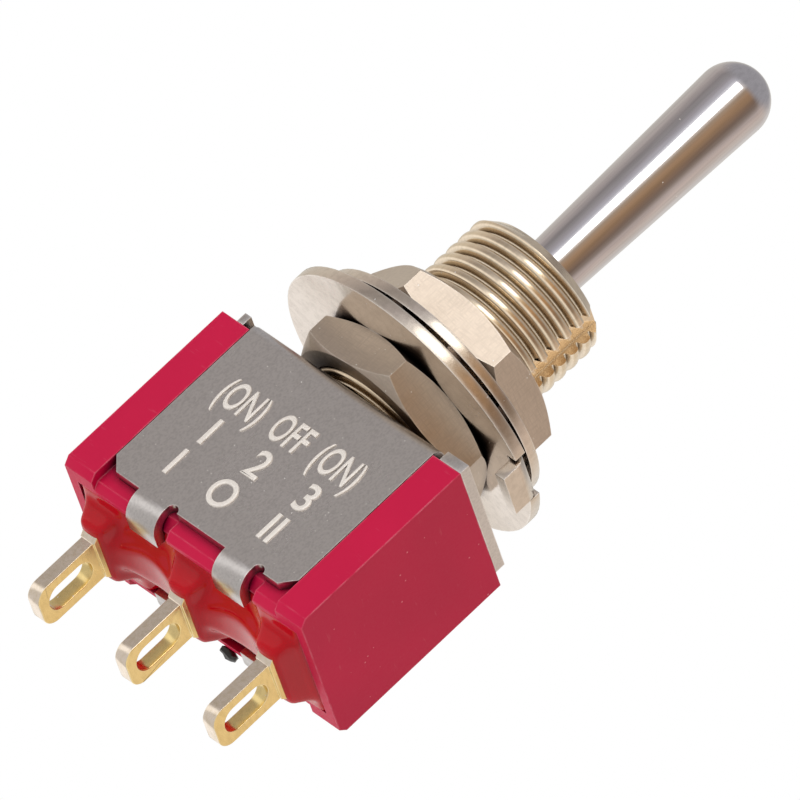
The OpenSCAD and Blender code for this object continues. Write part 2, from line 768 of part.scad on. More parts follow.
// Locating washer: a key inside for the bushing's keyway and a tab outside, bent to the frame
module locating_washer() {
    key_half = keyway_w / 2 - moving_gap;
    fold_x = locating_r - tongue_bend_r;
    top = locating_z + locating_t;
    tongue_low = locating_z - tongue_drop;
    color("wheat") {
        difference() {
            translate([0, 0, locating_z]) cylinder(r = locating_r, h = locating_t);
            difference() {
                translate([0, 0, locating_z - over]) cylinder(r = washer_bore_r, h = locating_t + 2 * over);
                box([thread_r - keyway_depth + moving_gap, -key_half, -through],
                    [through, key_half, through]);
            }
            box([fold_x, -tongue_w / 2 - tongue_slit, -through],
                [through, tongue_w / 2 + tongue_slit, through]);
        }
        bar_y(tongue_w) {
            difference() {
                translate([fold_x, top - tongue_bend_r]) circle(tongue_bend_r);
                translate([fold_x, top - tongue_bend_r]) circle(tongue_bend_r - locating_t);
                span([fold_x - over, top - 2 * tongue_bend_r], [fold_x, top]);
                span([fold_x - over, top - 2 * tongue_bend_r], [through, top - tongue_bend_r]);
            }
            span([fold_x - lap, locating_z], [fold_x, top]);
            span([locating_r - locating_t, tongue_low], [locating_r, top - tongue_bend_r]);
        }
    }
}

// Lock washer: a plain rim with twisted teeth that bite both ways round the thread
module lock_washer() {
    rim_r = lock_d / 2;
    inner_r = rim_r - lock_rim;
    tooth_in = thread_r + tooth_room;
    middle = lock_z + lock_h / 2;
    color("wheat") {
        difference() {
            translate([0, 0, middle + lock_lift - lock_t / 2]) cylinder(r = rim_r, h = lock_t);
            translate([0, 0, lock_z - over]) cylinder(r = inner_r, h = lock_h + 2 * over);
        }
        for (i = [0 : lock_teeth - 1]) rotate(360 * (i + 0.5) / lock_teeth) difference() {
            translate([tooth_in, 0, middle]) rotate([tooth_twist, 0, 0])
                translate([0, -tooth_w / 2, -lock_t / 2])
                    cube([inner_r + lock_rim / 3 - tooth_in, tooth_w, lock_t]);
            translate([0, 0, -through]) cylinder(r = tooth_in + 0.05, h = 2 * through);
        }
    }
}

case();
frame();
terminal_seal();
terminal_left();
terminal_centre();
terminal_right();
fixed_contact_left();
fixed_contact_right();
rocker();
rocker_contact_left();
rocker_contact_right();
bushing();
lever();
pivot_pin();
plunger();
plunger_spring();
back_nut();
locating_washer();
lock_washer();
front_nut();
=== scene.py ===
"""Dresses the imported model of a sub-miniature panel toggle switch.

Sizes are in millimetres and angles in degrees, unless a docstring says otherwise.
"""

import logging
import math
from dataclasses import dataclass, field
from enum import Enum
from typing import Any, Callable, Sequence

import bpy
from mathutils import Matrix, Vector


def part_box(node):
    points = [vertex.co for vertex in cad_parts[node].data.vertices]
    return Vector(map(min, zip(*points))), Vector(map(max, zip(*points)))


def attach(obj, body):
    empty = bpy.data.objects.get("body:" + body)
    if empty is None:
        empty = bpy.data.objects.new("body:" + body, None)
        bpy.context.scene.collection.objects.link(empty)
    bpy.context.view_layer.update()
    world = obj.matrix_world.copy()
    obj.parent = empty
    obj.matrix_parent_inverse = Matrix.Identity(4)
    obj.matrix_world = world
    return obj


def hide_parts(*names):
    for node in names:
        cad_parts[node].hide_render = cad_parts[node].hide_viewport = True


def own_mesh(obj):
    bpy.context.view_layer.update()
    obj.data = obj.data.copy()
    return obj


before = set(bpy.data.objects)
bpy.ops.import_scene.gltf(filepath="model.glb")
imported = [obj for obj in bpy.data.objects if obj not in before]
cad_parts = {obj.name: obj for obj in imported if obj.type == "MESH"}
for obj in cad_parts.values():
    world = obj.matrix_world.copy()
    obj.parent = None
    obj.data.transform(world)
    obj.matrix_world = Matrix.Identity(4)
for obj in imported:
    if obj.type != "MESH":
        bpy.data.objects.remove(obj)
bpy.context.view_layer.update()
MM = 0.001
TOUCHING = 2e-7  # distance in metres between points that count as one
LOG = logging.getLogger("toggle_switch")

Outline = Sequence[tuple[float, float]]
Point = tuple[float, float, float]
Piece = bpy.types.Object
Tree = bpy.types.NodeTree
Node = bpy.types.Node
Socket = bpy.types.NodeSocket


class Body(Enum):
    """The bodies that new pieces ride on."""

    HOUSING = "housing"
    LEVER = "lever"


class Cut(Enum):
    """What a tool does to the piece that it meets."""

    REMOVE = "DIFFERENCE"
    KEEP = "INTERSECT"
    JOIN = "UNION"


# ---------------------------------------------------------------- workbench


def put_down() -> None:
    """Goes to object mode with nothing selected."""
    if bpy.context.mode != "OBJECT":
        bpy.ops.object.mode_set(mode="OBJECT")
    bpy.ops.object.select_all(action="DESELECT")


def pick_up(piece: Piece) -> None:
    """Selects one piece alone and makes it the active one.

    Args:
        piece: The piece to work on.
    """
    put_down()
    piece.select_set(True)
    bpy.context.view_layer.objects.active = piece


def edit_all(piece: Piece) -> None:
    """Opens a piece in edit mode with its whole mesh selected.

    Args:
        piece: The piece to open.
    """
    pick_up(piece)
    bpy.ops.object.mode_set(mode="EDIT")
    bpy.ops.mesh.select_all(action="SELECT")


def settle(name: str, **placing: Any) -> Piece:
    """Names the active piece and puts its place, turn and scale into its mesh.

    Args:
        name: Name of the piece.
        **placing: Its location, rotation_euler or scale, where they change first.

    Returns:
        The piece.
    """
    piece = bpy.context.active_object
    piece.name = name
    for key, value in placing.items():
        setattr(piece, key, value)
    bpy.ops.object.transform_apply(location=True, rotation=True, scale=True)
    return piece


def block(name: str, low: Point, high: Point) -> Piece:
    """Adds a block between two corners.

    Args:
        name: Name of the piece.
        low: Lowest corner.
        high: Highest corner.

    Returns:
        The block.
    """
    put_down()
    low_m, high_m = Vector(low) * MM, Vector(high) * MM
    bpy.ops.mesh.primitive_cube_add(size=1.0, location=(low_m + high_m) / 2)
    return settle(name, scale=high_m - low_m)


def drum(
    name: str, radius: float, low: float, high: float, sides: int,
    turn: float = 0.0, lying_at: float | None = None,
) -> Piece:
    """Adds an upright cylinder or prism, or one that lies along Y.

    Args:
        name: Name of the piece.
        radius: Radius to its corners.
        low: Lower end along its axis.
        high: Upper end along its axis.
        sides: Number of sides.
        turn: Turn about its own axis, from a corner on Y.
        lying_at: Height of its axis where it lies along Y.

    Returns:
        The drum.
    """
    put_down()
    middle = (low + high) / 2
    place, rotation = (0.0, 0.0, middle), (0.0, 0.0, math.radians(turn))
    if lying_at is not None:
        place, rotation = (0.0, middle, lying_at), (math.pi / 2, 0.0, 0.0)
    bpy.ops.mesh.primitive_cylinder_add(
        vertices=sides, radius=radius * MM, depth=(high - low) * MM,
        location=Vector(place) * MM, rotation=rotation,
    )
    return settle(name)


def drawn(name: str, outline: Outline) -> Piece:
    """Draws an outline in the XZ plane, edge by edge.

    Args:
        name: Name of the piece.
        outline: Its points, as (radius, height).

    Returns:
        A piece that holds the points and the edges between them.
    """
    put_down()
    bpy.ops.mesh.primitive_plane_add(size=MM, location=(0.0, 0.0, 0.0))
    piece = settle(name)
    edit_all(piece)
    bpy.ops.mesh.merge(type="CENTER")
    (r, z), *_ = outline
    bpy.ops.transform.translate(value=(r * MM, 0.0, z * MM))
    for (r0, z0), (r1, z1) in zip(outline, outline[1:]):
        step = ((r1 - r0) * MM, 0.0, (z1 - z0) * MM)
        bpy.ops.mesh.extrude_vertices_move(TRANSFORM_OT_translate={"value": step})
    bpy.ops.object.mode_set(mode="OBJECT")
    return piece


def turned(name: str, outline: Outline, steps: int) -> Piece:
    """Turns an outline about the Z axis into a closed solid.

    Args:
        name: Name of the piece.
        outline: Points as (radius, height), closed or ending on the axis.
        steps: Number of facets round the axis.

    Returns:
        The turned solid.
    """
    piece = drawn(name, outline)
    edit_all(piece)
    bpy.ops.mesh.spin(
        steps=steps, angle=math.tau, center=(0.0, 0.0, 0.0), axis=(0.0, 0.0, 1.0)
    )
    close_up(piece)
    return piece


def close_up(piece: Piece) -> None:
    """Merges a shell's doubles and turns its faces outwards.

    Args:
        piece: The shell to mend.
    """
    edit_all(piece)
    bpy.ops.mesh.remove_doubles(threshold=TOUCHING)
    bpy.ops.mesh.dissolve_degenerate(threshold=TOUCHING)
    bpy.ops.mesh.select_all(action="SELECT")
    bpy.ops.mesh.normals_make_consistent(inside=False)
    bpy.ops.object.mode_set(mode="OBJECT")


def modify(piece: Piece, kind: str, **settings: Any) -> None:
    """Adds a modifier to a piece and applies it.

    Args:
        piece: The piece to change.
        kind: The modifier's type.
        **settings: The modifier's own settings.
    """
    pick_up(piece)
    modifier = piece.modifiers.new(kind.title(), kind)
    for key, value in settings.items():
        setattr(modifier, key, value)
    bpy.ops.object.modifier_apply(modifier=modifier.name)


def work(piece: Piece, tool: Piece, cut: Cut) -> None:
    """Cuts, trims or joins a piece with a tool, which is used up.

    Args:
        piece: The piece that is worked on.
        tool: The closed solid that meets it.
        cut: What the tool does.
    """
    modify(piece, "BOOLEAN", operation=cut.value, object=tool, solver="EXACT")
    bpy.data.objects.remove(tool, do_unlink=True)


def ease(piece: Piece, width: float, segments: int = 2, angle: float = 35.0) -> None:
    """Rounds the sharp edges of a piece.

    Args:
        piece: The piece to ease.
        width: Width of the rounding.
        segments: Number of steps in it.
        angle: Least angle of an edge that is rounded.
    """
    modify(
        piece, "BEVEL", width=width * MM, segments=segments, limit_method="ANGLE",
        angle_limit=math.radians(angle), use_clamp_overlap=True,
    )


def smooth(piece: Piece, angle: float, weighted: bool = True) -> None:
    """Shades a piece smooth up to an angle.

    Args:
        piece: The piece to shade.
        angle: Greatest angle that is shaded smooth.
        weighted: Whether large flat faces keep their own normal.
    """
    pick_up(piece)
    bpy.ops.object.shade_smooth_by_angle(angle=math.radians(angle))
    if weighted:
        modify(piece, "WEIGHTED_NORMAL", mode="FACE_AREA", keep_sharp=True)


def added(name: str, data: bpy.types.ID) -> Piece:
    """Adds an object to the scene, round data that is already there.

    Args:
        name: Name of the object.
        data: Its mesh, lens or light.

    Returns:
        The object.
    """
    thing = bpy.data.objects.new(name, data)
    bpy.context.scene.collection.objects.link(thing)
    return thing


def taken_from(node: str, name: str) -> Piece:
    """Copies a solid of the model as a workpiece with whole flat faces.

    Args:
        node: The node that is copied.
        name: Name of the new piece.

    Returns:
        The copy, merged, with no custom normals.
    """
    piece = added(name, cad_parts[node].data.copy())
    piece.data.materials.clear()
    pick_up(piece)
    bpy.ops.mesh.customdata_custom_splitnormals_clear()
    edit_all(piece)
    bpy.ops.mesh.remove_doubles(threshold=TOUCHING)
    bpy.ops.mesh.select_all(action="SELECT")
    bpy.ops.mesh.dissolve_limited(angle_limit=math.radians(0.5))
    bpy.ops.object.mode_set(mode="OBJECT")
    return piece


def arc(
    centre: tuple[float, float], radius: float, start: float, end: float, steps: int
) -> list[tuple[float, float]]:
    """Lists the points of an arc in an outline.

    Args:
        centre: Centre as (radius, height).
        radius: Radius of the arc.
        start: First angle, counted from the radial direction.
        end: Last angle.
        steps: Number of edges in the arc.

    Returns:
        The points, both ends included.
    """
    angles = [math.radians(start + (end - start) * i / steps) for i in range(steps + 1)]
    return [
        (centre[0] + radius * math.cos(a), centre[1] + radius * math.sin(a)) for a in angles
    ]


def fit(piece: Piece, body: Body, finish: "Finish", *nodes: str) -> None:
    """Gives a finished piece its material and its body, and hides the nodes that it stands for.

    Args:
        piece: The finished piece.
        body: The body that it rides on.
        finish: Its finish.
        *nodes: The nodes that it replaces.
    """
    put_down()
    piece.data.materials.clear()
    piece.data.materials.append(finish.material())
    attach(piece, body.value)
    if nodes:
        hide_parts(*nodes)
    LOG.info("%s on %s, %d faces", piece.name, body.value, len(piece.data.polygons))


def fit_eased(node: str, name: str, edge: float, finish: "Finish", segments: int = 2) -> None:
    """Makes a piece of the housing from a solid of the model, with its edges rounded.

    Args:
        node: The node that it is made from and stands for.
        name: Name of the piece.
        edge: Width of the rounding.
        finish: Its finish.
        segments: Number of steps in the rounding.
    """
    piece = taken_from(node, name)
    ease(piece, edge, segments)
    smooth(piece, 50.0)
    fit(piece, Body.HOUSING, finish, node)


# ---------------------------------------------------------------- finishes


def wire(tree: Tree, kind: str, inputs: dict[Any, Any], **settings: Any) -> Node:
    """Adds a shader node with its inputs set or linked.

    Args:
        tree: The tree that gets the node.
        kind: The node's type, without its "ShaderNode" prefix.
        inputs: Value or output socket for each named or numbered input.
        **settings: The node's own settings.

    Returns:
        The new node.
    """
    node = tree.nodes.new("ShaderNode" + kind)
    for key, value in settings.items():
        setattr(node, key, value)
    for key, value in inputs.items():
        if isinstance(value, Socket):
            tree.links.new(value, node.inputs[key])
        else:
            node.inputs[key].default_value = value
    return node


def maths(
    tree: Tree, operation: str, first: Any, second: Any = 0.0, clamp: bool = False
) -> Socket:
    """Adds one step of arithmetic.

    Args:
        tree: The tree that gets the node.
        operation: What the step does, such as "MULTIPLY".
        first: First value or socket.
        second: Second value or socket.
        clamp: Whether the result is held between 0 and 1.

    Returns:
        The result's socket.
    """
    node = wire(tree, "Math", {0: first, 1: second}, operation=operation, use_clamp=clamp)
    return node.outputs[0]


def ramped(
    tree: Tree, value: Socket, start: Any, stop: Any, low: float = 0.0, high: float = 1.0,
    shape: str = "LINEAR",
) -> Socket:
    """Stretches one range of values onto another, held at its ends.

    Args:
        tree: The tree that gets the node.
        value: The value's socket.
        start: Value or socket that gives low.
        stop: Value or socket that gives high.
        low: First end of the new range.
        high: Last end of the new range.
        shape: How the values run between them.

    Returns:
        The stretched value's socket.
    """
    stretch = {"Value": value, 1: start, 2: stop, 3: low, 4: high}
    return wire(tree, "MapRange", stretch, interpolation_type=shape).outputs[0]


def noise(tree: Tree, place: Socket, scale: Any, detail: float = 2.0) -> Socket:
    """Adds a noise pattern over a place, with a value or socket for its scale."""
    pattern = {"Vector": place, "Scale": scale, "Detail": detail}
    return wire(tree, "TexNoise", pattern).outputs[0]


def blend(tree: Tree, tone: Any, *coats: tuple[Socket, Any]) -> Socket:
    """Lays colours over a tone, each through its own mask.

    Args:
        tree: The tree that gets the nodes.
        tone: The lowest colour, or its socket.
        *coats: Mask and colour, or its socket, of each coat from the lowest up.

    Returns:
        The mixed colour's socket.
    """
    for mask, coat in coats:
        below, above = (c if isinstance(c, Socket) else (*c, 1.0) for c in (tone, coat))
        mix = wire(tree, "Mix", {"Factor": mask, 6: below, 7: above}, data_type="RGBA")
        tone = mix.outputs[2]
    return tone


def in_millimetres(tree: Tree) -> Socket:
    """Adds the object's own coordinates, counted in millimetres."""
    place = wire(tree, "TexCoord", {}).outputs["Object"]
    return wire(tree, "VectorMath", {0: place, "Scale": 1.0 / MM}, operation="SCALE").outputs[0]


def edge_wear_and_highlight(group: Tree, given: Any) -> list[Socket]:
    """Finds the edges that are rubbed pale, in patches, which also stand in for painted highlights
    where edges catch the light.

    Args:
        group: The effect's tree.
        given: Its Gain and Break_up.

    Returns:
        The mask.
    """
    rounded = wire(group, "Bevel", {"Radius": 0.09 * MM}, samples=6).outputs[0]
    surface = wire(group, "NewGeometry", {}).outputs["Normal"]
    along = wire(group, "VectorMath", {0: rounded, 1: surface}, operation="DOT_PRODUCT")
    away = maths(group, "SUBTRACT", 1.0, along.outputs["Value"])
    level = maths(group, "MULTIPLY", away, given["Gain"], clamp=True)
    patches = noise(group, in_millimetres(group), given["Break_up"], detail=3.0)
    return [maths(group, "MULTIPLY", level, ramped(group, patches, start=0.3, stop=0.6))]


def dust(group: Tree, given: Any) -> list[Socket]:
    """Strews fine specks over a surface.

    Args:
        group: The effect's tree.
        given: Its Scale, Size and Share.

    Returns:
        The mask.
    """
    cells = wire(group, "TexVoronoi", {"Vector": in_millimetres(group), "Scale": given["Scale"]})
    near = maths(group, "LESS_THAN", cells.outputs["Distance"], given["Size"])
    draw = wire(group, "SeparateColor", {0: cells.outputs["Color"]}).outputs[0]
    lucky = maths(group, "LESS_THAN", draw, given["Share"])
    return [maths(group, "MULTIPLY", near, lucky)]


def grain(group: Tree, given: Any) -> list[Socket]:
    """Draws fine marks out along one direction.

    Args:
        group: The effect's tree.
        given: How many marks lie across X, Y and Z in a millimetre.

    Returns:
        The marks' height, and a broader unevenness.
    """
    across = wire(group, "CombineXYZ", {axis: given[axis] for axis in range(3)}).outputs[0]
    stretched = {0: in_millimetres(group), 1: across}
    place = wire(group, "VectorMath", stretched, operation="MULTIPLY").outputs[0]
    return [noise(group, place, scale=1.0, detail=3.0), noise(group, place, scale=0.21)]


def painted_gap_shade(group: Tree, given: Any) -> list[Socket]:
    """Finds gaps and inner corners that little light leaves, the mask of the painted shade that
    darkens them.

    Args:
        group: The effect's tree.
        given: Its Reach in metres, and the shares of open sky that are Closed and Open.

    Returns:
        The mask.
    """
    opening = wire(group, "AmbientOcclusion", {"Distance": given["Reach"]}, samples=6)
    level = opening.outputs["AO"]
    return [ramped(group, level, given["Closed"], given["Open"], low=1.0, high=0.0)]


def sheared(group: Tree, given: Any) -> list[Socket]:
    """Finds a lug's sheared sides, where the plating is thin.

    Args:
        group: The effect's tree.
        given: The lug's Half_width and the height of its End.

    Returns:
        The mask.
    """
    place = wire(group, "SeparateXYZ", {0: in_millimetres(group)}).outputs
    facing = wire(group, "TexCoord", {}).outputs["Normal"]
    sideways = maths(group, "ABSOLUTE", wire(group, "SeparateXYZ", {0: facing}).outputs[0])
    turned_away = maths(group, "LESS_THAN", sideways, 0.5)
    outer = maths(group, "GREATER_THAN", maths(group, "ABSOLUTE", place[1]), given["Half_width"])
    lowest = maths(group, "LESS_THAN", place[2], given["End"])
    return [maths(group, "MULTIPLY", turned_away, maths(group, "MAXIMUM", outer, lowest))]


def clouding(group: Tree, given: Any) -> list[Socket]:
    """Makes slow changes in tone.

    Args:
        group: The effect's tree.
        given: Its Scale, and the Low and High ends of the noise that it uses.

    Returns:
        The mask.
    """
    level = noise(group, in_millimetres(group), given["Scale"])
    return [ramped(group, level, given["Low"], given["High"])]


@dataclass(frozen=True)
class Effect:
    """An effect that several materials share: a node group.

    Attributes:
        wiring: Wires the group from its inputs and returns a socket for each output.
        inputs: Default value of each input.
        outputs: Name of each output.
    """

    wiring: Callable[[Tree, Any], list[Socket]]
    inputs: dict[str, float]
    outputs: tuple[str, ...] = ("Mask",)

    def make(self, name: str) -> Tree:
        """Makes the group, with named sockets.

        Args:
            name: Name of the group.

        Returns:
            The group.
        """
        group = bpy.data.node_groups.new(name, "ShaderNodeTree")
        for key, value in self.inputs.items():
            socket = group.interface.new_socket(key, in_out="INPUT", socket_type="NodeSocketFloat")
            socket.default_value = value
        for key in self.outputs:
            group.interface.new_socket(key, in_out="OUTPUT", socket_type="NodeSocketFloat")
        given = group.nodes.new("NodeGroupInput").outputs
        out = group.nodes.new("NodeGroupOutput")
        for key, socket in zip(self.outputs, self.wiring(group, given)):
            group.links.new(socket, out.inputs[key])
        return group


EFFECTS: dict[str, Effect] = {
    # pale edges: partly real wear, partly painted highlights
    "edge_wear_and_highlight": Effect(edge_wear_and_highlight, {"Gain": 6.0, "Break_up": 1.6}),
    "dust": Effect(dust, {"Scale": 3.0, "Size": 0.12, "Share": 0.3}),
    "grain": Effect(
        grain, {"Across_X": 10.0, "Across_Y": 10.0, "Across_Z": 1.0}, ("Height", "Broad")
    ),
    # painted shade: darkens gaps and inner corners by ambient occlusion
    "painted_gap_shade": Effect(painted_gap_shade, {"Reach": 0.7 * MM, "Closed": 0.14, "Open": 0.6}),
    "sheared": Effect(sheared, {"Half_width": 0.75, "End": -12.3}),
    "clouding": Effect(clouding, {"Scale": 0.5, "Low": 0.3, "High": 0.7}),
}


def effect(tree: Tree, name: str, **inputs: float) -> Any:
    """Places a shared effect in a material, made on its first use.

    Args:
        tree: The material's tree.
        name: Name of the effect.
        **inputs: Value of each input that isn't left at its default.

    Returns:
        The effect's outputs.
    """
    group = bpy.data.node_groups.get(name) or EFFECTS[name].make(name)
    node = tree.nodes.new("ShaderNodeGroup")
    node.node_tree = group
    for key, value in inputs.items():
        node.inputs[key].default_value = value
    return node.outputs


@dataclass(frozen=True)
class Finish:
    """A finish: what every surface has in common.

    Attributes:
        name: Name of the finish.
        slot: The record's material slot; not used.
        colour: Main colour, linear.
        shade: Colour of its darker clouds.
        rubbed_and_highlight_colour: Colour where edges are rubbed, which also paints their
            highlights; plastic uses it for scuffs and specks too.
        roughness: Least and greatest roughness.
        clouds: Number of clouds in a millimetre.
        speckle: Number of cells in a millimetre, and a speck's radius in cells.
        specks: Share of the cells that hold a speck.
    """

    name: str
    slot: str
    colour: Point
    shade: Point
    rubbed_and_highlight_colour: Point
    roughness: tuple[float, float]
    clouds: float = 0.18
    speckle: tuple[float, float] = (4.5, 0.13)
    specks: float = 0.05

    def material(self) -> bpy.types.Material:
        """Returns the finish's material, built on its first use."""
        found = bpy.data.materials.get(self.name)
        if found:
            return found
        made = bpy.data.materials.new(self.name)
        made.use_nodes = True
        self.build(made.node_tree, made.node_tree.nodes["Principled BSDF"])
        return made

    def build(self, tree: Tree, shader: Node) -> None:
        """Wires the finish into its shader."""
        raise NotImplementedError

    def clouded(self, tree: Tree) -> Socket:
        """Adds the mask of the darker clouds."""
        return effect(tree, "clouding", Scale=self.clouds)["Mask"]

    def speckled(self, tree: Tree) -> Socket:
        """Adds the mask of the specks."""
        scale, size = self.speckle
        return effect(tree, "dust", Scale=scale, Size=size, Share=self.specks)["Mask"]

    def marked(self, tree: Tree, across: Point) -> Any:
        """Adds marks, so many in a millimetre across each axis."""
        x, y, z = across
        return effect(tree, "grain", Across_X=x, Across_Y=y, Across_Z=z)

    def set_bump(self, tree: Tree, shader: Node, height: Socket, depth: float) -> None:
        """Adds a bump whose height runs from 0 to 1 over its depth."""
        bump = wire(tree, "Bump", {"Height": height, "Strength": 1.0, "Distance": depth * MM})
        tree.links.new(bump.outputs[0], shader.inputs["Normal"])


@dataclass(frozen=True)
class MetalFinish(Finish):
    """Bare or plated metal with drawn marks, clouds, specks, rubbed edges that also paint
    highlights, and painted shade in gaps.

    Attributes:
        marks: How many marks lie across each axis in a millimetre.
        mark_depth: Depth of the marks.
        speck_colour: Colour of the specks.
        rub_and_highlight_spread: How far the rubbed edges, which also paint highlights, spread.
        woven: Whether a second set of marks crosses the first.
        mottle: How strongly the marks darken the metal.
        mottle_range: Heights of a mark between which it darkens.
        mark_tone: Share of the darker clouds' colour that a mark keeps.
        speck_roughness: Roughness of a speck.
        metallic: Share of the surface that shows as metal; the rest shows its colour as a dull
            surface, which the raised letters use for a painted highlight.
        painted_shade_colour: Colour of the painted shade in narrow gaps and inner corners.
    """

    marks: Point = (8.0, 8.0, 0.7)
    mark_depth: float = 0.0006
    speck_colour: Point = (0.9, 0.88, 0.85)
    rub_and_highlight_spread: float = 6.0
    woven: bool = False
    mottle: float = 0.25
    mottle_range: tuple[float, float] = (0.42, 0.66)
    mark_tone: float = 0.6
    speck_roughness: float = 0.6
    metallic: float = 1.0
    painted_shade_colour: Point = (0.05, 0.03, 0.035)

    def plating(self, tree: Tree) -> Socket:
        """Adds the clouded colour of the bare plating."""
        return blend(tree, self.colour, (self.clouded(tree), self.shade))

    def build(self, tree: Tree, shader: Node) -> None:
        """Wires the metal into its shader.

        Args:
            tree: The material's tree.
            shader: Its shader.
        """
        marks = self.marked(tree, self.marks)
        height = marks["Height"]
        if self.woven:
            across, _, along = self.marks
            crossing = self.marked(tree, (along, along, across))
            height = maths(tree, "MAXIMUM", height, crossing["Height"])
        specks = self.speckled(tree)
        tone = blend(
            tree, self.plating(tree),
            (ramped(tree, height, *self.mottle_range, high=self.mottle),
             [self.mark_tone * channel for channel in self.shade]),
            # rubbed edges: partly real wear, partly painted highlights on the edges
            (effect(tree, "edge_wear_and_highlight", Gain=self.rub_and_highlight_spread)["Mask"], self.rubbed_and_highlight_colour),
            (specks, self.speck_colour),
            # painted shade: narrow gaps and inner corners sink to the painted shade colour
            (effect(tree, "painted_gap_shade")["Mask"], self.painted_shade_colour),
        )
        tree.links.new(tone, shader.inputs["Base Color"])
        uneven = maths(tree, "MULTIPLY", marks["Broad"], self.clouded(tree))
        rough = maths(
            tree, "MAXIMUM", ramped(tree, uneven, 0.0, 1.0, *self.roughness),
            maths(tree, "MULTIPLY", specks, self.speck_roughness),
        )
        tree.links.new(rough, shader.inputs["Roughness"])
        shader.inputs["Metallic"].default_value = self.metallic
        self.set_bump(tree, shader, height, self.mark_depth)


@dataclass(frozen=True)
class LugFinish(MetalFinish):
    """Plated strip whose sheared sides and ends are paler than its faces.

    Attributes:
        sheared_colour: Colour of the sheared sides.
    """

    sheared_colour: Point = (1.0, 0.88, 0.74)

    def plating(self, tree: Tree) -> Socket:
        """Adds the plating's colour, with the sheared sides in their own."""
        sides = effect(tree, "sheared")["Mask"]
        return blend(tree, super().plating(tree), (sides, self.sheared_colour))


@dataclass(frozen=True)
class PlasticFinish(Finish):
    """Moulded or poured resin with clouds, specks, scuffs, pale edges that are partly wear and
    partly painted highlight, and painted shade in gaps.

    Attributes:
        skin: Size of the moulded skin's grain, in bumps per millimetre.
        skin_depth: Depth of that grain.
        scuffs: How many scuffs lie across each axis in a millimetre.
        scuff_range: Heights of a scuff between which it shows.
        scuff_strength: How strongly it shows.
        gloss: Weight of the clear outer skin.
        gloss_roughness: Roughness of that skin.
        depth: Share of light that wanders under the surface.
        rub_and_highlight_spread: How far the rubbed edges, which also paint highlights, spread.
        shine: Strength of the bare surface's own reflection.
        painted_shade_colour: Colour of the painted shade in narrow gaps and inner corners.
        painted_shade_open: Share of open sky above which a place gets no painted shade.
    """

    clouds: float = 0.16
    speckle: tuple[float, float] = (2.2, 0.09)
    specks: float = 0.1
    skin: float = 9.0
    skin_depth: float = 0.002
    scuffs: Point = (1.1, 0.9, 6.0)
    scuff_range: tuple[float, float] = (0.66, 0.74)
    scuff_strength: float = 0.18
    gloss: float = 0.0
    gloss_roughness: float = 0.2
    depth: float = 0.0
    rub_and_highlight_spread: float = 5.0
    shine: float = 0.5
    painted_shade_colour: Point = (0.09, 0.0, 0.012)
    painted_shade_open: float = 0.62

    def build(self, tree: Tree, shader: Node) -> None:
        """Wires the plastic into its shader.

        Args:
            tree: The material's tree.
            shader: Its shader.
        """
        skin = effect(tree, "clouding", Scale=self.skin, Low=0.2, High=0.8)["Mask"]
        scuffs = self.marked(tree, self.scuffs)["Height"]
        tone = blend(
            tree, self.colour,
            (self.clouded(tree), self.shade),
            (ramped(tree, scuffs, *self.scuff_range, high=self.scuff_strength), self.rubbed_and_highlight_colour),
            # rubbed edges: partly real wear, partly painted highlights on the edges
            (effect(tree, "edge_wear_and_highlight", Gain=self.rub_and_highlight_spread)["Mask"], self.rubbed_and_highlight_colour),
            (self.speckled(tree), self.rubbed_and_highlight_colour),
            # painted shade: narrow gaps, notches and inner corners sink to the painted shade
            # colour
            (effect(tree, "painted_gap_shade", Closed=0.12, Open=self.painted_shade_open)["Mask"], self.painted_shade_colour),
        )
        tree.links.new(tone, shader.inputs["Base Color"])
        tree.links.new(ramped(tree, skin, 0.0, 1.0, *self.roughness), shader.inputs["Roughness"])
        fixed = {
            "Specular IOR Level": self.shine, "Coat Weight": self.gloss,
            "Coat Roughness": self.gloss_roughness, "Subsurface Weight": self.depth,
            "Subsurface Scale": 0.3 * MM,
        }
        for socket, value in fixed.items():
            shader.inputs[socket].default_value = value
        self.set_bump(tree, shader, skin, self.skin_depth)


# Painted shade: each finish's shade colour for gaps darkens its narrow gaps, notches, thread
# grooves and inner corners.
RED_CASE = PlasticFinish(
    "moulded_red_case", "red_case", (0.66, 0.0, 0.062), (0.58, 0.0, 0.054), (0.78, 0.2, 0.28),
    (0.36, 0.52), specks=0.06, skin_depth=0.001, shine=0.3, rub_and_highlight_spread=9.0,
    painted_shade_colour=(0.045, 0.0, 0.012), painted_shade_open=0.7,
)
RED_RESIN = PlasticFinish(
    "poured_red_resin", "red_resin", (0.6, 0.0, 0.01), (0.48, 0.0, 0.008), (0.62, 0.04, 0.04),
    (0.12, 0.2), skin=1.2, skin_depth=0.006, specks=0.05, gloss=0.5, gloss_roughness=0.03,
    depth=0.15, shine=0.05, painted_shade_colour=(0.25, 0.0, 0.006), painted_shade_open=0.4,
)
DARK_CRUMB = PlasticFinish(
    "dark_flake", "red_resin", (0.025, 0.028, 0.024), (0.012, 0.014, 0.012), (0.1, 0.1, 0.09),
    (0.3, 0.45), skin=4.0, skin_depth=0.01,
)
# The frame's pale edge colour and wide spread paint highlights along its edges, as well as wear.
SHEET_STEEL = MetalFinish(
    "tumbled_sheet_steel", "steel_frame", (0.74, 0.71, 0.69), (0.66, 0.63, 0.61),
    (1.0, 0.97, 0.94), (0.26, 0.4), marks=(11.0, 11.0, 8.0), mark_depth=0.0016, specks=0.18,
    mottle=0.3, rub_and_highlight_spread=9.0,
)
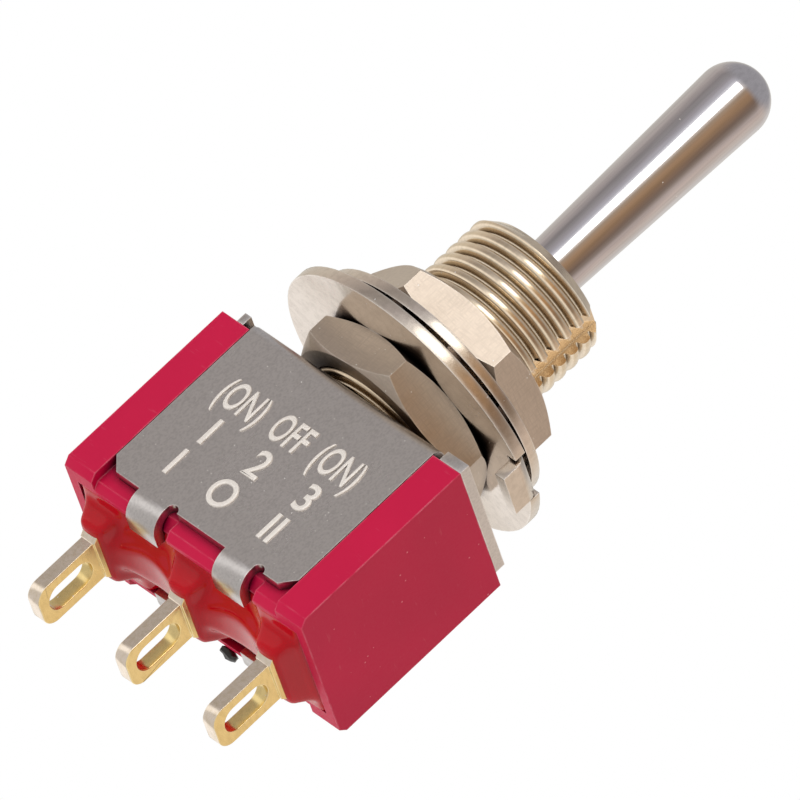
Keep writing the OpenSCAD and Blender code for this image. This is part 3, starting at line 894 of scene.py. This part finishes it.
# The raised letters are the frame's steel made paler and less metallic: a painted highlight where
# their rounded tops catch the light.
LETTER_STEEL_PAINTED_HIGHLIGHT = MetalFinish(
    "raised_letters_painted_highlight", "steel_frame", (1.0, 0.97, 0.92), (0.94, 0.9, 0.85),
    (1.0, 0.98, 0.94), (0.5, 0.6), marks=(5.0, 5.0, 5.0), mark_depth=0.0008, specks=0.05,
    mottle=0.1, metallic=0.4,
)
NICKEL = MetalFinish(
    "bright_nickel", "nickel_brass", (0.88, 0.75, 0.57), (0.78, 0.64, 0.46),
    (1.0, 0.94, 0.84), (0.16, 0.3), marks=(6.0, 6.0, 1.2), mark_depth=0.0006, specks=0.04,
    mottle=0.2, painted_shade_colour=(0.12, 0.075, 0.04),
)
TUMBLED_NICKEL = MetalFinish(
    "tumbled_nickel", "nickel_brass", (0.8, 0.72, 0.64), (0.7, 0.62, 0.53),
    (0.97, 0.93, 0.87), (0.14, 0.32), marks=(3.2, 3.2, 3.6), mark_depth=0.004, specks=0.14,
    rub_and_highlight_spread=8.0,
)
BRUSHED_NICKEL = MetalFinish(
    "milled_nickel", "nickel_brass", (0.67, 0.58, 0.49), (0.6, 0.51, 0.42),
    (0.97, 0.92, 0.84), (0.34, 0.5), marks=(20.0, 20.0, 2.4), mark_depth=0.003, specks=0.14,
    woven=True, mottle=0.3,
)
CHROME = MetalFinish(
    "chromed_lever", "chrome_lever", (0.68, 0.66, 0.68), (0.63, 0.61, 0.64),
    (0.86, 0.84, 0.84), (0.07, 0.13), marks=(7.0, 7.0, 0.35), mark_depth=0.0005, specks=0.02,
)
GOLD = LugFinish(
    "gold_plated_lug", "gold_plate", (1.0, 0.82, 0.4), (0.97, 0.74, 0.32),
    (0.97, 0.88, 0.68), (0.2, 0.36), marks=(5.0, 2.0, 5.0), mark_depth=0.001, specks=0.04,
)
SILVER = MetalFinish(
    "contact_silver", "silver_contact", (0.84, 0.83, 0.81), (0.76, 0.75, 0.73),
    (0.95, 0.94, 0.92), (0.2, 0.32), specks=0.06,
)
COPPER = MetalFinish(
    "rolled_copper_alloy", "copper_strip", (0.74, 0.47, 0.3), (0.66, 0.4, 0.25),
    (0.88, 0.66, 0.5), (0.22, 0.36), marks=(1.0, 9.0, 9.0), specks=0.08,
)
SPRING_WIRE = MetalFinish(
    "drawn_spring_wire", "spring_steel", (0.5, 0.5, 0.5), (0.42, 0.42, 0.43),
    (0.75, 0.75, 0.75), (0.2, 0.35), specks=0.05,
)
NYLON = PlasticFinish(
    "natural_nylon", "nylon", (0.8, 0.77, 0.68), (0.74, 0.7, 0.6), (0.9, 0.88, 0.82),
    (0.4, 0.55), specks=0.04, depth=0.3,
)


# ---------------------------------------------------------------- sub-assemblies


@dataclass
class Enclosure:
    """The moulded case and the folded frame that holds it to the bushing.

    Attributes:
        case_edge: Rounding of the case's edges.
        frame_edge: Rounding of the frame's sheared edges.
        letter_height: Height of a raised letter.
        capitals: Share of the typeface's size that a capital letter fills.
        letter_rise: Radius of a letter's rounded edge.
        letter_foot: Straight part of its edge.
        letter_growth: How much its outline grows before it is rounded.
        rows: Text, middle height, left end and right end of each row of letters.
    """

    case_edge: float = 0.07
    frame_edge: float = 0.05
    letter_height: float = 1.25
    capitals: float = 0.7
    letter_rise: float = 0.065
    letter_foot: float = 0.01
    letter_growth: float = -0.03
    rows: list[tuple[str, float, float, float]] = field(
        default_factory=lambda: [
            ("(ON)  OFF  (ON)", -3.0, -3.7, 3.5),
            ("1    2    3", -4.72, -2.9, 2.7),
            ("I    O    II", -6.44, -2.9, 2.7),
        ]
    )

    def build(self) -> None:
        """Builds the case, the frame and its letters."""
        fit_eased("case", "moulded_case", self.case_edge, RED_CASE, segments=3)
        fit_eased("frame", "folded_frame", self.frame_edge, SHEET_STEEL)
        for number, row in enumerate(self.rows, start=1):
            self.make_letters(number, *row)

    def make_letters(
        self, number: int, text: str, height: float, left: float, right: float
    ) -> None:
        """Raises one row of letters on the front flap.

        Args:
            number: Number of the row, from the top.
            text: What the row says.
            height: Height of its middle.
            left: Its left end.
            right: Its right end.
        """
        put_down()
        bpy.ops.object.text_add(location=(0.0, 0.0, 0.0))
        letters = bpy.context.active_object.data
        letters.body = text
        letters.size = self.letter_height / self.capitals * MM
        letters.align_x = "CENTER"
        letters.align_y = "CENTER"
        letters.offset = self.letter_growth * MM
        letters.extrude = self.letter_foot * MM
        letters.bevel_depth = self.letter_rise * MM
        letters.bevel_resolution = 3
        letters.resolution_u = 6
        bpy.ops.object.convert(target="MESH")
        stretch = (right - left) * MM / bpy.context.active_object.dimensions.x
        row = settle(
            f"raised_letters_{number}",
            scale=(stretch, 1.0, 1.0),
            rotation_euler=(math.pi / 2, 0.0, 0.0),
            location=((left + right) / 2 * MM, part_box("frame")[0].y, height * MM),
        )
        close_up(row)
        smooth(row, 60.0, weighted=False)
        # the letters get the paler steel, a painted highlight
        fit(row, Body.HOUSING, LETTER_STEEL_PAINTED_HIGHLIGHT)


@dataclass
class TerminalBlock:
    """The three solder lugs, the resin poured round them and a flake stuck to it.

    Attributes:
        sides: The terminals, along X.
        lug_edge: Rounding of the lugs' edges.
        stem: Half the thickness and half the width of a terminal's stem.
        resin_cell: Size of the resin's cells.
        resin_rounds: How often the resin is smoothed.
        end_fill: Where the resin stands level with the case, from the middle.
        level: How far short of the case's rim it ends there, or past it if negative.
        keyed: How far it reaches into the case's side walls there.
        buried: How far its other end stays inside the resin there.
        skirt_foot: How far the resin's skirt spreads round a terminal.
        skirt_top: Thickness of the skirt's thin end.
        skirt_ends: How far the thin end runs past the resin, and the wide end inside the rim.
        crumb: Place of the dark flake stuck to the case's rim.
        crumb_size: Its half width each way.
        crumb_stray: How far its points stray.
    """

    sides: tuple[str, ...] = ("left", "centre", "right")
    lug_edge: float = 0.07
    stem: tuple[float, float] = (0.38, 1.4)
    resin_cell: float = 0.07
    resin_rounds: int = 90
    end_fill: float = 3.5
    level: float = -0.02
    keyed: float = 0.25
    buried: float = 0.2
    skirt_foot: float = 0.6
    skirt_top: float = 0.16
    skirt_ends: tuple[float, float] = (0.14, 0.15)
    crumb: Point = (0.55, 2.98, -8.9)
    crumb_size: Point = (0.45, 0.3, 0.2)
    crumb_stray: float = 0.05

    def build(self) -> None:
        """Builds the resin, the flake and the lugs."""
        self.make_resin()
        self.make_crumb()
        for side in self.sides:
            fit_eased(f"terminal_{side}", f"solder_lug_{side}", self.lug_edge, GOLD, segments=3)

    def make_resin(self) -> None:
        """Pours the resin: hollow between the terminals, and drawn up each in a thin skirt."""
        low, high = (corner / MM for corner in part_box("terminal_seal"))
        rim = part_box("case")[0].z / MM
        resin = taken_from("terminal_seal", "poured_resin")
        for side in (-1, 1):
            inner, outer = sorted((side * self.end_fill, side * high.x))
            fill = block(
                "end_fill", (inner, low.y - self.keyed, rim + self.level),
                (outer, high.y + self.keyed, high.z - self.buried),
            )
            work(resin, fill, Cut.JOIN)
        half = self.stem[0]
        past_resin, inside_rim = self.skirt_ends
        for side in self.sides:
            left, right = ((corner / MM).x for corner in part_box(f"terminal_{side}"))
            middle = {"left": left + half, "centre": 0.0, "right": right - half}[side]
            skirt = self.make_skirt(middle, low.z - past_resin, rim + inside_rim)
            work(resin, skirt, Cut.JOIN)
        modify(resin, "REMESH", mode="VOXEL", voxel_size=self.resin_cell * MM)
        modify(resin, "SMOOTH", factor=0.5, iterations=self.resin_rounds)
        smooth(resin, 180.0, weighted=False)
        fit(resin, Body.HOUSING, RED_RESIN, "terminal_seal")

    def make_skirt(self, middle: float, top: float, foot: float) -> Piece:
        """Makes the tapered skirt that the resin draws up a terminal.

        Args:
            middle: Place of the terminal along the row.
            top: Height of the skirt's thin end.
            foot: Height of its wide end.

        Returns:
            The closed skirt.
        """
        wide_x, wide_y = (half + self.skirt_foot for half in self.stem)
        thin_x, thin_y = (half + self.skirt_top for half in self.stem)
        skirt = block("skirt", (middle - wide_x, -wide_y, top), (middle + wide_x, wide_y, foot))
        edit_all(skirt)
        bpy.ops.mesh.select_all(action="DESELECT")
        bpy.ops.object.mode_set(mode="OBJECT")
        for face in skirt.data.polygons:
            face.select = face.normal.z < -0.5
        bpy.ops.object.mode_set(mode="EDIT")
        bpy.ops.transform.resize(
            value=(thin_x / wide_x, thin_y / wide_y, 1.0),
            center_override=(middle * MM, 0.0, top * MM),
        )
        bpy.ops.object.mode_set(mode="OBJECT")
        return skirt

    def make_crumb(self) -> None:
        """Leaves a small dark flake on the case's rim."""
        put_down()
        bpy.ops.mesh.primitive_ico_sphere_add(
            subdivisions=2, radius=MM, location=Vector(self.crumb) * MM
        )
        flake = settle("dark_flake", scale=self.crumb_size)
        edit_all(flake)
        bpy.ops.transform.vertex_random(
            offset=self.crumb_stray * MM, uniform=0.5, normal=0.5, seed=4
        )
        bpy.ops.object.mode_set(mode="OBJECT")
        smooth(flake, 20.0, weighted=False)
        fit(flake, Body.HOUSING, DARK_CRUMB)


@dataclass
class ThreadedBushing:
    """The bushing: a coarse bright thread with a keyway, a ball seat and a flared mouth.

    Attributes:
        crest: Radius of the thread's crest.
        flank: Depth under the crest, and height, of each point up to the crest.
        pitch: Distance from one turn to the next.
        run_in: Number of turns wound before the rod's foot, and whole ones past its top.
        seam: Greatest gap between two turns that is closed.
        chamfer: Chamfer of the outer end.
        key_half: Half the keyway's width.
        key_floor: Radius of the keyway's floor.
        slot_foot: Height where the keyway and the cross pin's grooves begin.
        groove: Radius of the seats that the cross pin turns in.
        groove_reach: How far they reach from the axis.
        bore: Radius of the bore under the ball.
        guide: Radius of the seat that the ball turns in.
        guide_depth: How far the seat reaches under the ball's centre.
        throat: Radius where the seat ends above the ball.
        mouth: Radius of the flared mouth.
        mouth_edge: Chamfer of the mouth.
        spigot: Radius of the spigot that goes through the frame.
        stake: Radius of its staked rim.
        stake_height: Height of that rim.
        pivot: Height of the ball's centre.
        steps: Number of facets round the thread and the bore.
        spigot_steps: Number of facets round the spigot.
    """

    crest: float = 3.175
    flank: Outline = ((0.33, 0.0), (0.31, 0.045), (0.085, 0.125), (0.038, 0.165), (0.01, 0.225))
    pitch: float = 0.635
    run_in: float = 2.5
    seam: float = 0.001
    chamfer: float = 0.4
    key_half: float = 0.5
    key_floor: float = 2.675
    slot_foot: float = 0.4
    groove: float = 0.43
    groove_reach: float = 2.53
    bore: float = 2.279
    guide: float = 2.13
    guide_depth: float = 1.26
    throat: float = 1.659
    mouth: float = 2.09
    mouth_edge: float = 0.08
    spigot: float = 2.559
    stake: float = 2.699
    stake_height: float = 0.28
    pivot: float = 5.65
    steps: int = 120
    spigot_steps: int = 96

    def build(self) -> None:
        """Cuts the bushing from a threaded rod."""
        low, high = ((corner / MM).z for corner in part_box("bushing"))
        overlap, over = 0.2, 1.0
        rod = self.make_rod(high)
        for name, radius, top in (
            ("spigot", self.spigot, overlap), ("staked_rim", self.stake, low + self.stake_height),
        ):
            work(rod, drum(name, radius, low, top, self.spigot_steps), Cut.JOIN)
        work(rod, self.make_envelope(low, high), Cut.KEEP)
        work(rod, self.make_pin_slot(high), Cut.REMOVE)
        keyway = block(
            "keyway", (self.key_floor, -self.key_half, self.slot_foot),
            (self.crest + over, self.key_half, high + over),
        )
        work(rod, keyway, Cut.REMOVE)
        close_up(rod)
        smooth(rod, 32.0, weighted=False)
        fit(rod, Body.HOUSING, NICKEL, "bushing")

    def make_rod(self, top: float) -> Piece:
        """Winds the thread's profile up a rod and closes both ends.

        Args:
            top: Height of the rod's upper end.

        Returns:
            The closed rod.
        """
        start = -self.run_in * self.pitch
        flank = [(self.crest - depth, z) for depth, z in self.flank]
        mirrored = [(r, self.pitch - z) for r, z in reversed(flank)]
        profile = [*flank, (self.crest, self.pitch / 2), *mirrored]
        rod = drawn("threaded_bushing", [(r, start + z) for r, z in profile])
        turns = math.ceil((top - start) / self.pitch) + int(self.run_in)
        modify(
            rod, "SCREW", axis="Z", angle=math.tau, screw_offset=self.pitch * MM,
            iterations=turns, steps=self.steps, render_steps=self.steps,
            use_merge_vertices=False,
        )
        edit_all(rod)
        bpy.ops.mesh.remove_doubles(threshold=self.seam * MM)
        for height, upward in ((0.0, False), (top, True)):
            bpy.ops.mesh.select_all(action="SELECT")
            bpy.ops.mesh.bisect(
                plane_co=(0.0, 0.0, height * MM), plane_no=(0.0, 0.0, 1.0), use_fill=True,
                clear_inner=not upward, clear_outer=upward, threshold=TOUCHING / 2,
            )
        bpy.ops.object.mode_set(mode="OBJECT")
        close_up(rod)
        return rod

    def make_pin_slot(self, top: float) -> Piece:
        """Makes the tool for the two grooves that the cross pin drops into.

        Args:
            top: Height of the bushing's outer end.

        Returns:
            The closed tool.
        """
        reach = self.groove_reach
        tool = block(
            "pin_slot", (-self.groove, -reach, self.slot_foot), (self.groove, reach, self.pivot)
        )
        seat = drum("pin_seat", self.groove, -reach, reach, 32, lying_at=self.pivot)
        work(tool, seat, Cut.JOIN)
        work(tool, drum("pin_reach", reach, 0.0, top, self.spigot_steps), Cut.KEEP)
        return tool

    def make_envelope(self, low: float, high: float) -> Piece:
        """Turns the space that the finished bushing fills, its bore left out.

        Args:
            low: Lower end of the spigot.
            high: Outer end of the thread.

        Returns:
            The closed ring.
        """
        over, room = 0.1, 0.3
        outside = self.crest + room
        throat_rise = math.sqrt(self.guide**2 - self.throat**2)
        closing = math.degrees(math.atan2(throat_rise, self.throat))
        seat_foot = self.pivot - self.guide_depth
        outline = [
            (self.bore, low - over), (outside, low - over),
            (outside, high - self.chamfer - room), (self.crest - self.chamfer, high),
            (self.mouth + self.mouth_edge, high), (self.mouth, high - self.mouth_edge),
            *arc((0.0, self.pivot), self.guide, closing, 0.0, 8),
            (self.guide, seat_foot), (self.bore, seat_foot), (self.bore, low - over),
        ]
        return turned("envelope", outline, self.steps)


@dataclass
class PanelHardware:
    """The two nuts and the two washers on the bushing.

    Attributes:
        flats: Width of a nut across its flats.
        bore: Radius of a nut's thread.
        lead: Width and depth of the chamfer at each end of that thread.
        slope: Slope of the chamfer round a nut's corners.
        nut_edge: Rounding of a nut's edges.
        washer_edge: Rounding of a washer's edges.
        corners: Direction of a corner of each nut.
        steps: Number of facets round a nut's hole and its chamfer.
    """

    flats: float = 7.94
    bore: float = 2.98
    lead: float = 0.25
    slope: float = 32.0
    nut_edge: float = 0.09
    washer_edge: float = 0.06
    corners: dict[str, float] = field(
        default_factory=lambda: {"back_nut": -9.5, "front_nut": 20.4}
    )
    steps: int = 120

    def build(self) -> None:
        """Builds both nuts and both washers."""
        for node, direction in self.corners.items():
            self.make_nut(node, direction)
        fit_eased("locating_washer", "tabbed_washer", self.washer_edge, TUMBLED_NICKEL)
        fit_eased("lock_washer", "toothed_washer", self.washer_edge, TUMBLED_NICKEL)

    def make_nut(self, node: str, direction: float) -> None:
        """Makes a thin hexagon nut, chamfered on both faces.

        Args:
            node: The node that it stands for.
            direction: Direction of one of its corners.
        """
        low, high = (corner.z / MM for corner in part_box(node))
        face = self.flats / 2
        corner = face / math.cos(math.pi / 6)
        off_x = 30.0  # an unturned hexagon has its corners this far off X
        nut = drum(f"hexagon_{node}", corner, low, high, 6, direction + off_x)
        rim = 2 * corner - face
        drop = (rim - face) * math.tan(math.radians(self.slope))
        barrel = [
            (0.0, low), (face, low), (rim, low + drop),
            (rim, high - drop), (face, high), (0.0, high),
        ]
        work(nut, turned("barrel", barrel, self.steps), Cut.KEEP)
        over = 0.5
        wide = self.bore + self.lead + over
        hole = [
            (0.0, low - over), (wide, low - over), (self.bore, low + self.lead),
            (self.bore, high - self.lead), (wide, high + over), (0.0, high + over),
        ]
        work(nut, turned("hole", hole, self.steps), Cut.REMOVE)
        close_up(nut)
        ease(nut, self.nut_edge, angle=20.0)
        smooth(nut, 40.0)
        fit(nut, Body.HOUSING, BRUSHED_NICKEL, node)


@dataclass
class BatLever:
    """The chromed lever, turned in one piece with its ball and its hollow tail.

    Attributes:
        tail: Radius of the tail.
        bore: Radius of the spring's bore.
        bore_top: Height of the bore's blind end.
        ball: Radius of the ball.
        pivot: Height of the ball's centre.
        neck: Radius that the bat would have at the ball's centre.
        neck_rise: Height of the neck above the ball's centre.
        tip: Radius of the bat at its domed end.
        rings: Number of steps up the ball, the bat and the dome.
        steps: Number of facets round the lever.
    """

    tail: float = 0.85
    bore: float = 0.55
    bore_top: float = 1.6
    ball: float = 2.1
    pivot: float = 5.65
    neck: float = 1.098
    neck_rise: float = 1.76
    tip: float = 1.46
    rings: tuple[int, int, int] = (24, 12, 16)
    steps: int = 96

    def build(self) -> None:
        """Turns the lever from its outline."""
        low, high = (corner.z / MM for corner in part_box("lever"))
        dome_z = high - self.tip
        neck_z = self.pivot + self.neck_rise
        neck_r = self.neck + (self.tip - self.neck) * self.neck_rise / (dome_z - self.pivot)
        from_tail = -math.degrees(math.acos(self.tail / self.ball))
        to_neck = math.degrees(math.acos(neck_r / self.ball))
        up_ball, up_bat, up_dome = self.rings
        bat = [
            (neck_r + (self.tip - neck_r) * i / up_bat, neck_z + (dome_z - neck_z) * i / up_bat)
            for i in range(1, up_bat)
        ]
        outline = [
            (0.0, self.bore_top), (self.bore, self.bore_top), (self.bore, low),
            (self.tail, low), *arc((0.0, self.pivot), self.ball, from_tail, to_neck, up_ball),
            *bat, *arc((0.0, dome_z), self.tip, 0.0, 90.0, up_dome),
        ]
        outline[-1] = (0.0, high)
        lever = turned("bat_lever", outline, self.steps)
        smooth(lever, 35.0, weighted=False)
        fit(lever, Body.LEVER, CHROME, "lever")


@dataclass
class ContactSet:
    """The inner pieces. All but the spring keep the model's own solids.

    Attributes:
        travel: How far the plunger can push the spring in; not used.
        finishes: Finish of each node that keeps its solid.
    """

    travel: float = 0.5
    finishes: dict[str, Finish] = field(
        default_factory=lambda: {
            "fixed_contact_left": SILVER,
            "fixed_contact_right": SILVER,
            "rocker_contact_left": SILVER,
            "rocker_contact_right": SILVER,
            "rocker": COPPER,
            "pivot_pin": SPRING_WIRE,
            "plunger": NYLON,
        }
    )

    def build(self) -> None:
        """Dresses each inner node and coils the spring."""
        for node, finish in self.finishes.items():
            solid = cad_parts[node]
            solid.data.materials.clear()
            solid.data.materials.append(finish.material())
            LOG.info("%s dressed as %s", node, finish.name)
        self.make_spring()

    def make_spring(self) -> None:
        """Makes the spring, which rides on the lever."""
        spring = taken_from("plunger_spring", "coiled_spring")
        smooth(spring, 50.0)
        fit(spring, Body.LEVER, SPRING_WIRE, "plunger_spring")
        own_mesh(spring)


# ---------------------------------------------------------------- studio


WHITE = (1.0, 1.0, 1.0, 1.0)


@dataclass(frozen=True)
class Lamp:
    """A soft lamp that looks at the object.

    Attributes:
        name: Name of the lamp.
        direction: Direction from the object to the lamp.
        distance: Distance in metres.
        size: Width and height in metres.
        brightness: How bright its face looks, where 1 is white.
        colour: Colour of its light.
        mirrored: Whether bright metal shows it.
    """

    name: str
    direction: Point
    distance: float
    size: tuple[float, float]
    brightness: float
    colour: Point
    mirrored: bool = False

    def hang(self) -> None:
        """Hangs the lamp."""
        data = bpy.data.lights.new(self.name, "AREA")
        data.shape = "RECTANGLE"
        data.size, data.size_y = self.size
        data.energy = self.brightness * math.pi * self.size[0] * self.size[1]
        data.color = self.colour
        lamp = added(self.name, data)
        way = Vector(self.direction).normalized()
        lamp.location = way * self.distance
        lamp.rotation_euler = way.to_track_quat("Z", "Y").to_euler()
        lamp.visible_camera = False
        lamp.visible_glossy = self.mirrored


@dataclass
class Studio:
    """A pale floor, soft lamps, a plain surround and the camera.

    Attributes:
        distance: Distance from the camera to the object in metres.
        width: Width of the view at the object in metres.
        sensor: Width of the camera's sensor.
        target: Point in the middle of the view.
        right: The view's right-hand direction.
        up: The view's upward direction.
        floor_size: Width of the floor in metres.
        floor_drop: How far below the object the floor lies in metres.
        paper: The floor's two greys.
        floor_glow: Distances on the floor in metres between which its reflection pales.
        ring: Direction and colour of each stop of the surround.
        horizon: Heights of a direction between which the ring takes over from below.
        sky: Heights of a direction between which the zenith takes over.
        below: Colour of the surround under the object.
        underneath: Colour that the floor right under the object has in a reflection.
        zenith: Colour of the surround above it.
        lamps: The soft lamps round the object.
    """

    distance: float = 0.8
    width: float = 0.02936
    sensor: float = 36.0
    target: Point = (-0.39, 0.0, 1.97)
    right: Point = (0.6863, 0.2176, 0.6942)
    up: Point = (-0.4681, -0.5984, 0.6504)
    floor_size: float = 8.0
    floor_drop: float = 1.2
    paper: tuple[Point, Point] = ((0.93, 0.93, 0.93), (0.97, 0.97, 0.97))
    floor_glow: tuple[float, float] = (1.5, 2.3)
    ring: list[tuple[float, Point]] = field(
        default_factory=lambda: [
            (-180, (0.67, 0.62, 0.56)), (-160, (0.58, 0.52, 0.48)), (-135, (0.35, 0.32, 0.31)),
            (-121, (0.4, 0.38, 0.37)), (-108, (0.48, 0.45, 0.46)), (-95, (0.66, 0.65, 0.68)),
            (-88, (0.95, 0.95, 0.97)), (-62, (1.15, 1.08, 0.98)), (-57, (0.85, 0.75, 0.63)),
            (-50, (0.52, 0.39, 0.27)), (-37, (0.52, 0.33, 0.19)), (-25, (0.43, 0.27, 0.15)),
            (-13, (0.34, 0.22, 0.14)), (-1, (0.27, 0.19, 0.14)), (11, (0.33, 0.26, 0.21)),
            (27, (0.63, 0.53, 0.47)), (43, (0.77, 0.64, 0.55)), (62, (0.78, 0.69, 0.6)),
            (90, (0.84, 0.8, 0.75)), (130, (0.72, 0.69, 0.63)), (180, (0.67, 0.62, 0.56)),
        ]
    )
    horizon: tuple[float, float] = (-0.2, 0.12)
    sky: tuple[float, float] = (0.45, 0.8)
    below: Point = (1.0, 0.98, 0.97)
    underneath: Point = (0.6, 0.58, 0.57)
    zenith: Point = (0.45, 0.44, 0.45)
    lamps: tuple[Lamp, ...] = (
        Lamp("key_lamp", (0.28, -0.91, 0.31), 0.6, (0.26, 0.36), 1.9, (1.0, 0.98, 0.95), True),
        Lamp("top_lamp", (-0.45, -0.35, 0.85), 0.7, (0.5, 0.5), 0.5, (0.97, 0.98, 1.0)),
        Lamp("front_fill", (-0.2, -0.9, 0.35), 0.7, (0.4, 0.4), 1.1, (1.0, 0.99, 0.97)),
        Lamp("under_fill", (-0.35, 0.1, -0.93), 0.6, (0.5, 0.5), 1.6, (1.0, 0.98, 0.97)),
    )

    def build(self) -> None:
        """Sets up everything that isn't the object."""
        self.make_camera()
        self.make_floor()
        self.make_surround()
        for lamp in self.lamps:
            lamp.hang()

    def make_camera(self) -> None:
        """Places the camera on a very long lens."""
        right = Vector(self.right).normalized()
        up = Vector(self.up)
        up = (up - right * up.dot(right)).normalized()
        back = right.cross(up)
        data = bpy.data.cameras.new("camera")
        data.sensor_width = self.sensor
        data.lens = self.sensor * self.distance / self.width
        data.clip_start, data.clip_end = 0.01, 10.0
        camera = added("camera", data)
        turn = Matrix((right, up, back)).transposed().to_4x4()
        place = Vector(self.target) * MM + back * self.distance
        camera.matrix_world = Matrix.Translation(place) @ turn
        bpy.context.scene.camera = camera

    def make_floor(self) -> None:
        """Lays the pale floor, plain white to the camera."""
        put_down()
        place = (0.0, 0.0, -self.floor_drop)
        bpy.ops.mesh.primitive_plane_add(size=self.floor_size, location=place)
        floor = bpy.context.active_object
        floor.name = "floor"
        paper = bpy.data.materials.new("floor_paper")
        paper.use_nodes = True
        tree = paper.node_tree
        shader = tree.nodes["Principled BSDF"]
        shader.inputs["Roughness"].default_value = 0.9
        spot = wire(tree, "TexCoord", {}).outputs["Object"]
        dark, light = self.paper
        tone = blend(tree, dark, (noise(tree, spot, scale=40.0), light))
        tree.links.new(tone, shader.inputs["Base Color"])
        reach = wire(tree, "VectorMath", {0: spot}, operation="LENGTH").outputs["Value"]
        far = ramped(tree, reach, *self.floor_glow, shape="SMOOTHSTEP")
        mirrored = blend(tree, self.underneath, (far, self.below))
        path = wire(tree, "LightPath", {}).outputs
        seen = shader.outputs[0]
        for ray, colour in (("Is Glossy Ray", mirrored), ("Is Camera Ray", WHITE)):
            glow = wire(tree, "Emission", {"Color": colour, "Strength": 1.0}).outputs[0]
            seen = wire(tree, "MixShader", {0: path[ray], 1: seen, 2: glow}).outputs[0]
        tree.links.new(seen, tree.nodes["Material Output"].inputs["Surface"])
        floor.data.materials.append(paper)

    def make_surround(self) -> None:
        """Paints the surround: white to the camera, a soft studio to everything else."""
        world = bpy.data.worlds.new("studio")
        bpy.context.scene.world = world
        world.use_nodes = True
        tree = world.node_tree
        tree.nodes.clear()
        direction = wire(tree, "TexCoord", {}).outputs["Generated"]
        x, y, z = wire(tree, "SeparateXYZ", {0: direction}).outputs
        angle = maths(tree, "ARCTAN2", y, x)
        around = wire(tree, "ValToRGB", {0: ramped(tree, angle, -math.pi, math.pi)})
        self.colour_ring(around.color_ramp)
        whole = blend(
            tree, self.below,
            (ramped(tree, z, *self.horizon, shape="SMOOTHSTEP"), around.outputs[0]),
            (ramped(tree, z, *self.sky, shape="SMOOTHSTEP"), self.zenith),
        )
        studio, white = (
            wire(tree, "Background", {"Color": colour, "Strength": 1.0}).outputs[0]
            for colour in (whole, WHITE)
        )
        camera_ray = wire(tree, "LightPath", {}).outputs["Is Camera Ray"]
        mix = wire(tree, "MixShader", {0: camera_ray, 1: studio, 2: white})
        wire(tree, "OutputWorld", {"Surface": mix.outputs[0]})

    def colour_ring(self, ramp: bpy.types.ColorRamp) -> None:
        """Sets the stops of the ramp that runs round the surround.

        Args:
            ramp: The ramp, which runs from -X round by the front to -X again.
        """
        ramp.interpolation = "LINEAR"
        while len(ramp.elements) > 1:
            ramp.elements.remove(ramp.elements[-1])
        for i, (direction, colour) in enumerate(self.ring):
            spot = (direction + 180.0) / 360.0
            stop = ramp.elements[0] if i == 0 else ramp.elements.new(spot)
            stop.position = spot
            stop.color = (*colour, 1.0)


def main() -> None:
    """Builds the studio and every sub-assembly in order."""
    logging.basicConfig(level=logging.INFO, format="%(name)s: %(message)s")
    bpy.context.scene.view_settings.view_transform = "Standard"
    Studio().build()
    for part in (
        Enclosure(), TerminalBlock(), ThreadedBushing(), PanelHardware(), BatLever(), ContactSet(),
    ):
        part.build()
        LOG.info("%s built", type(part).__name__)


if __name__ == "__main__":
    main()
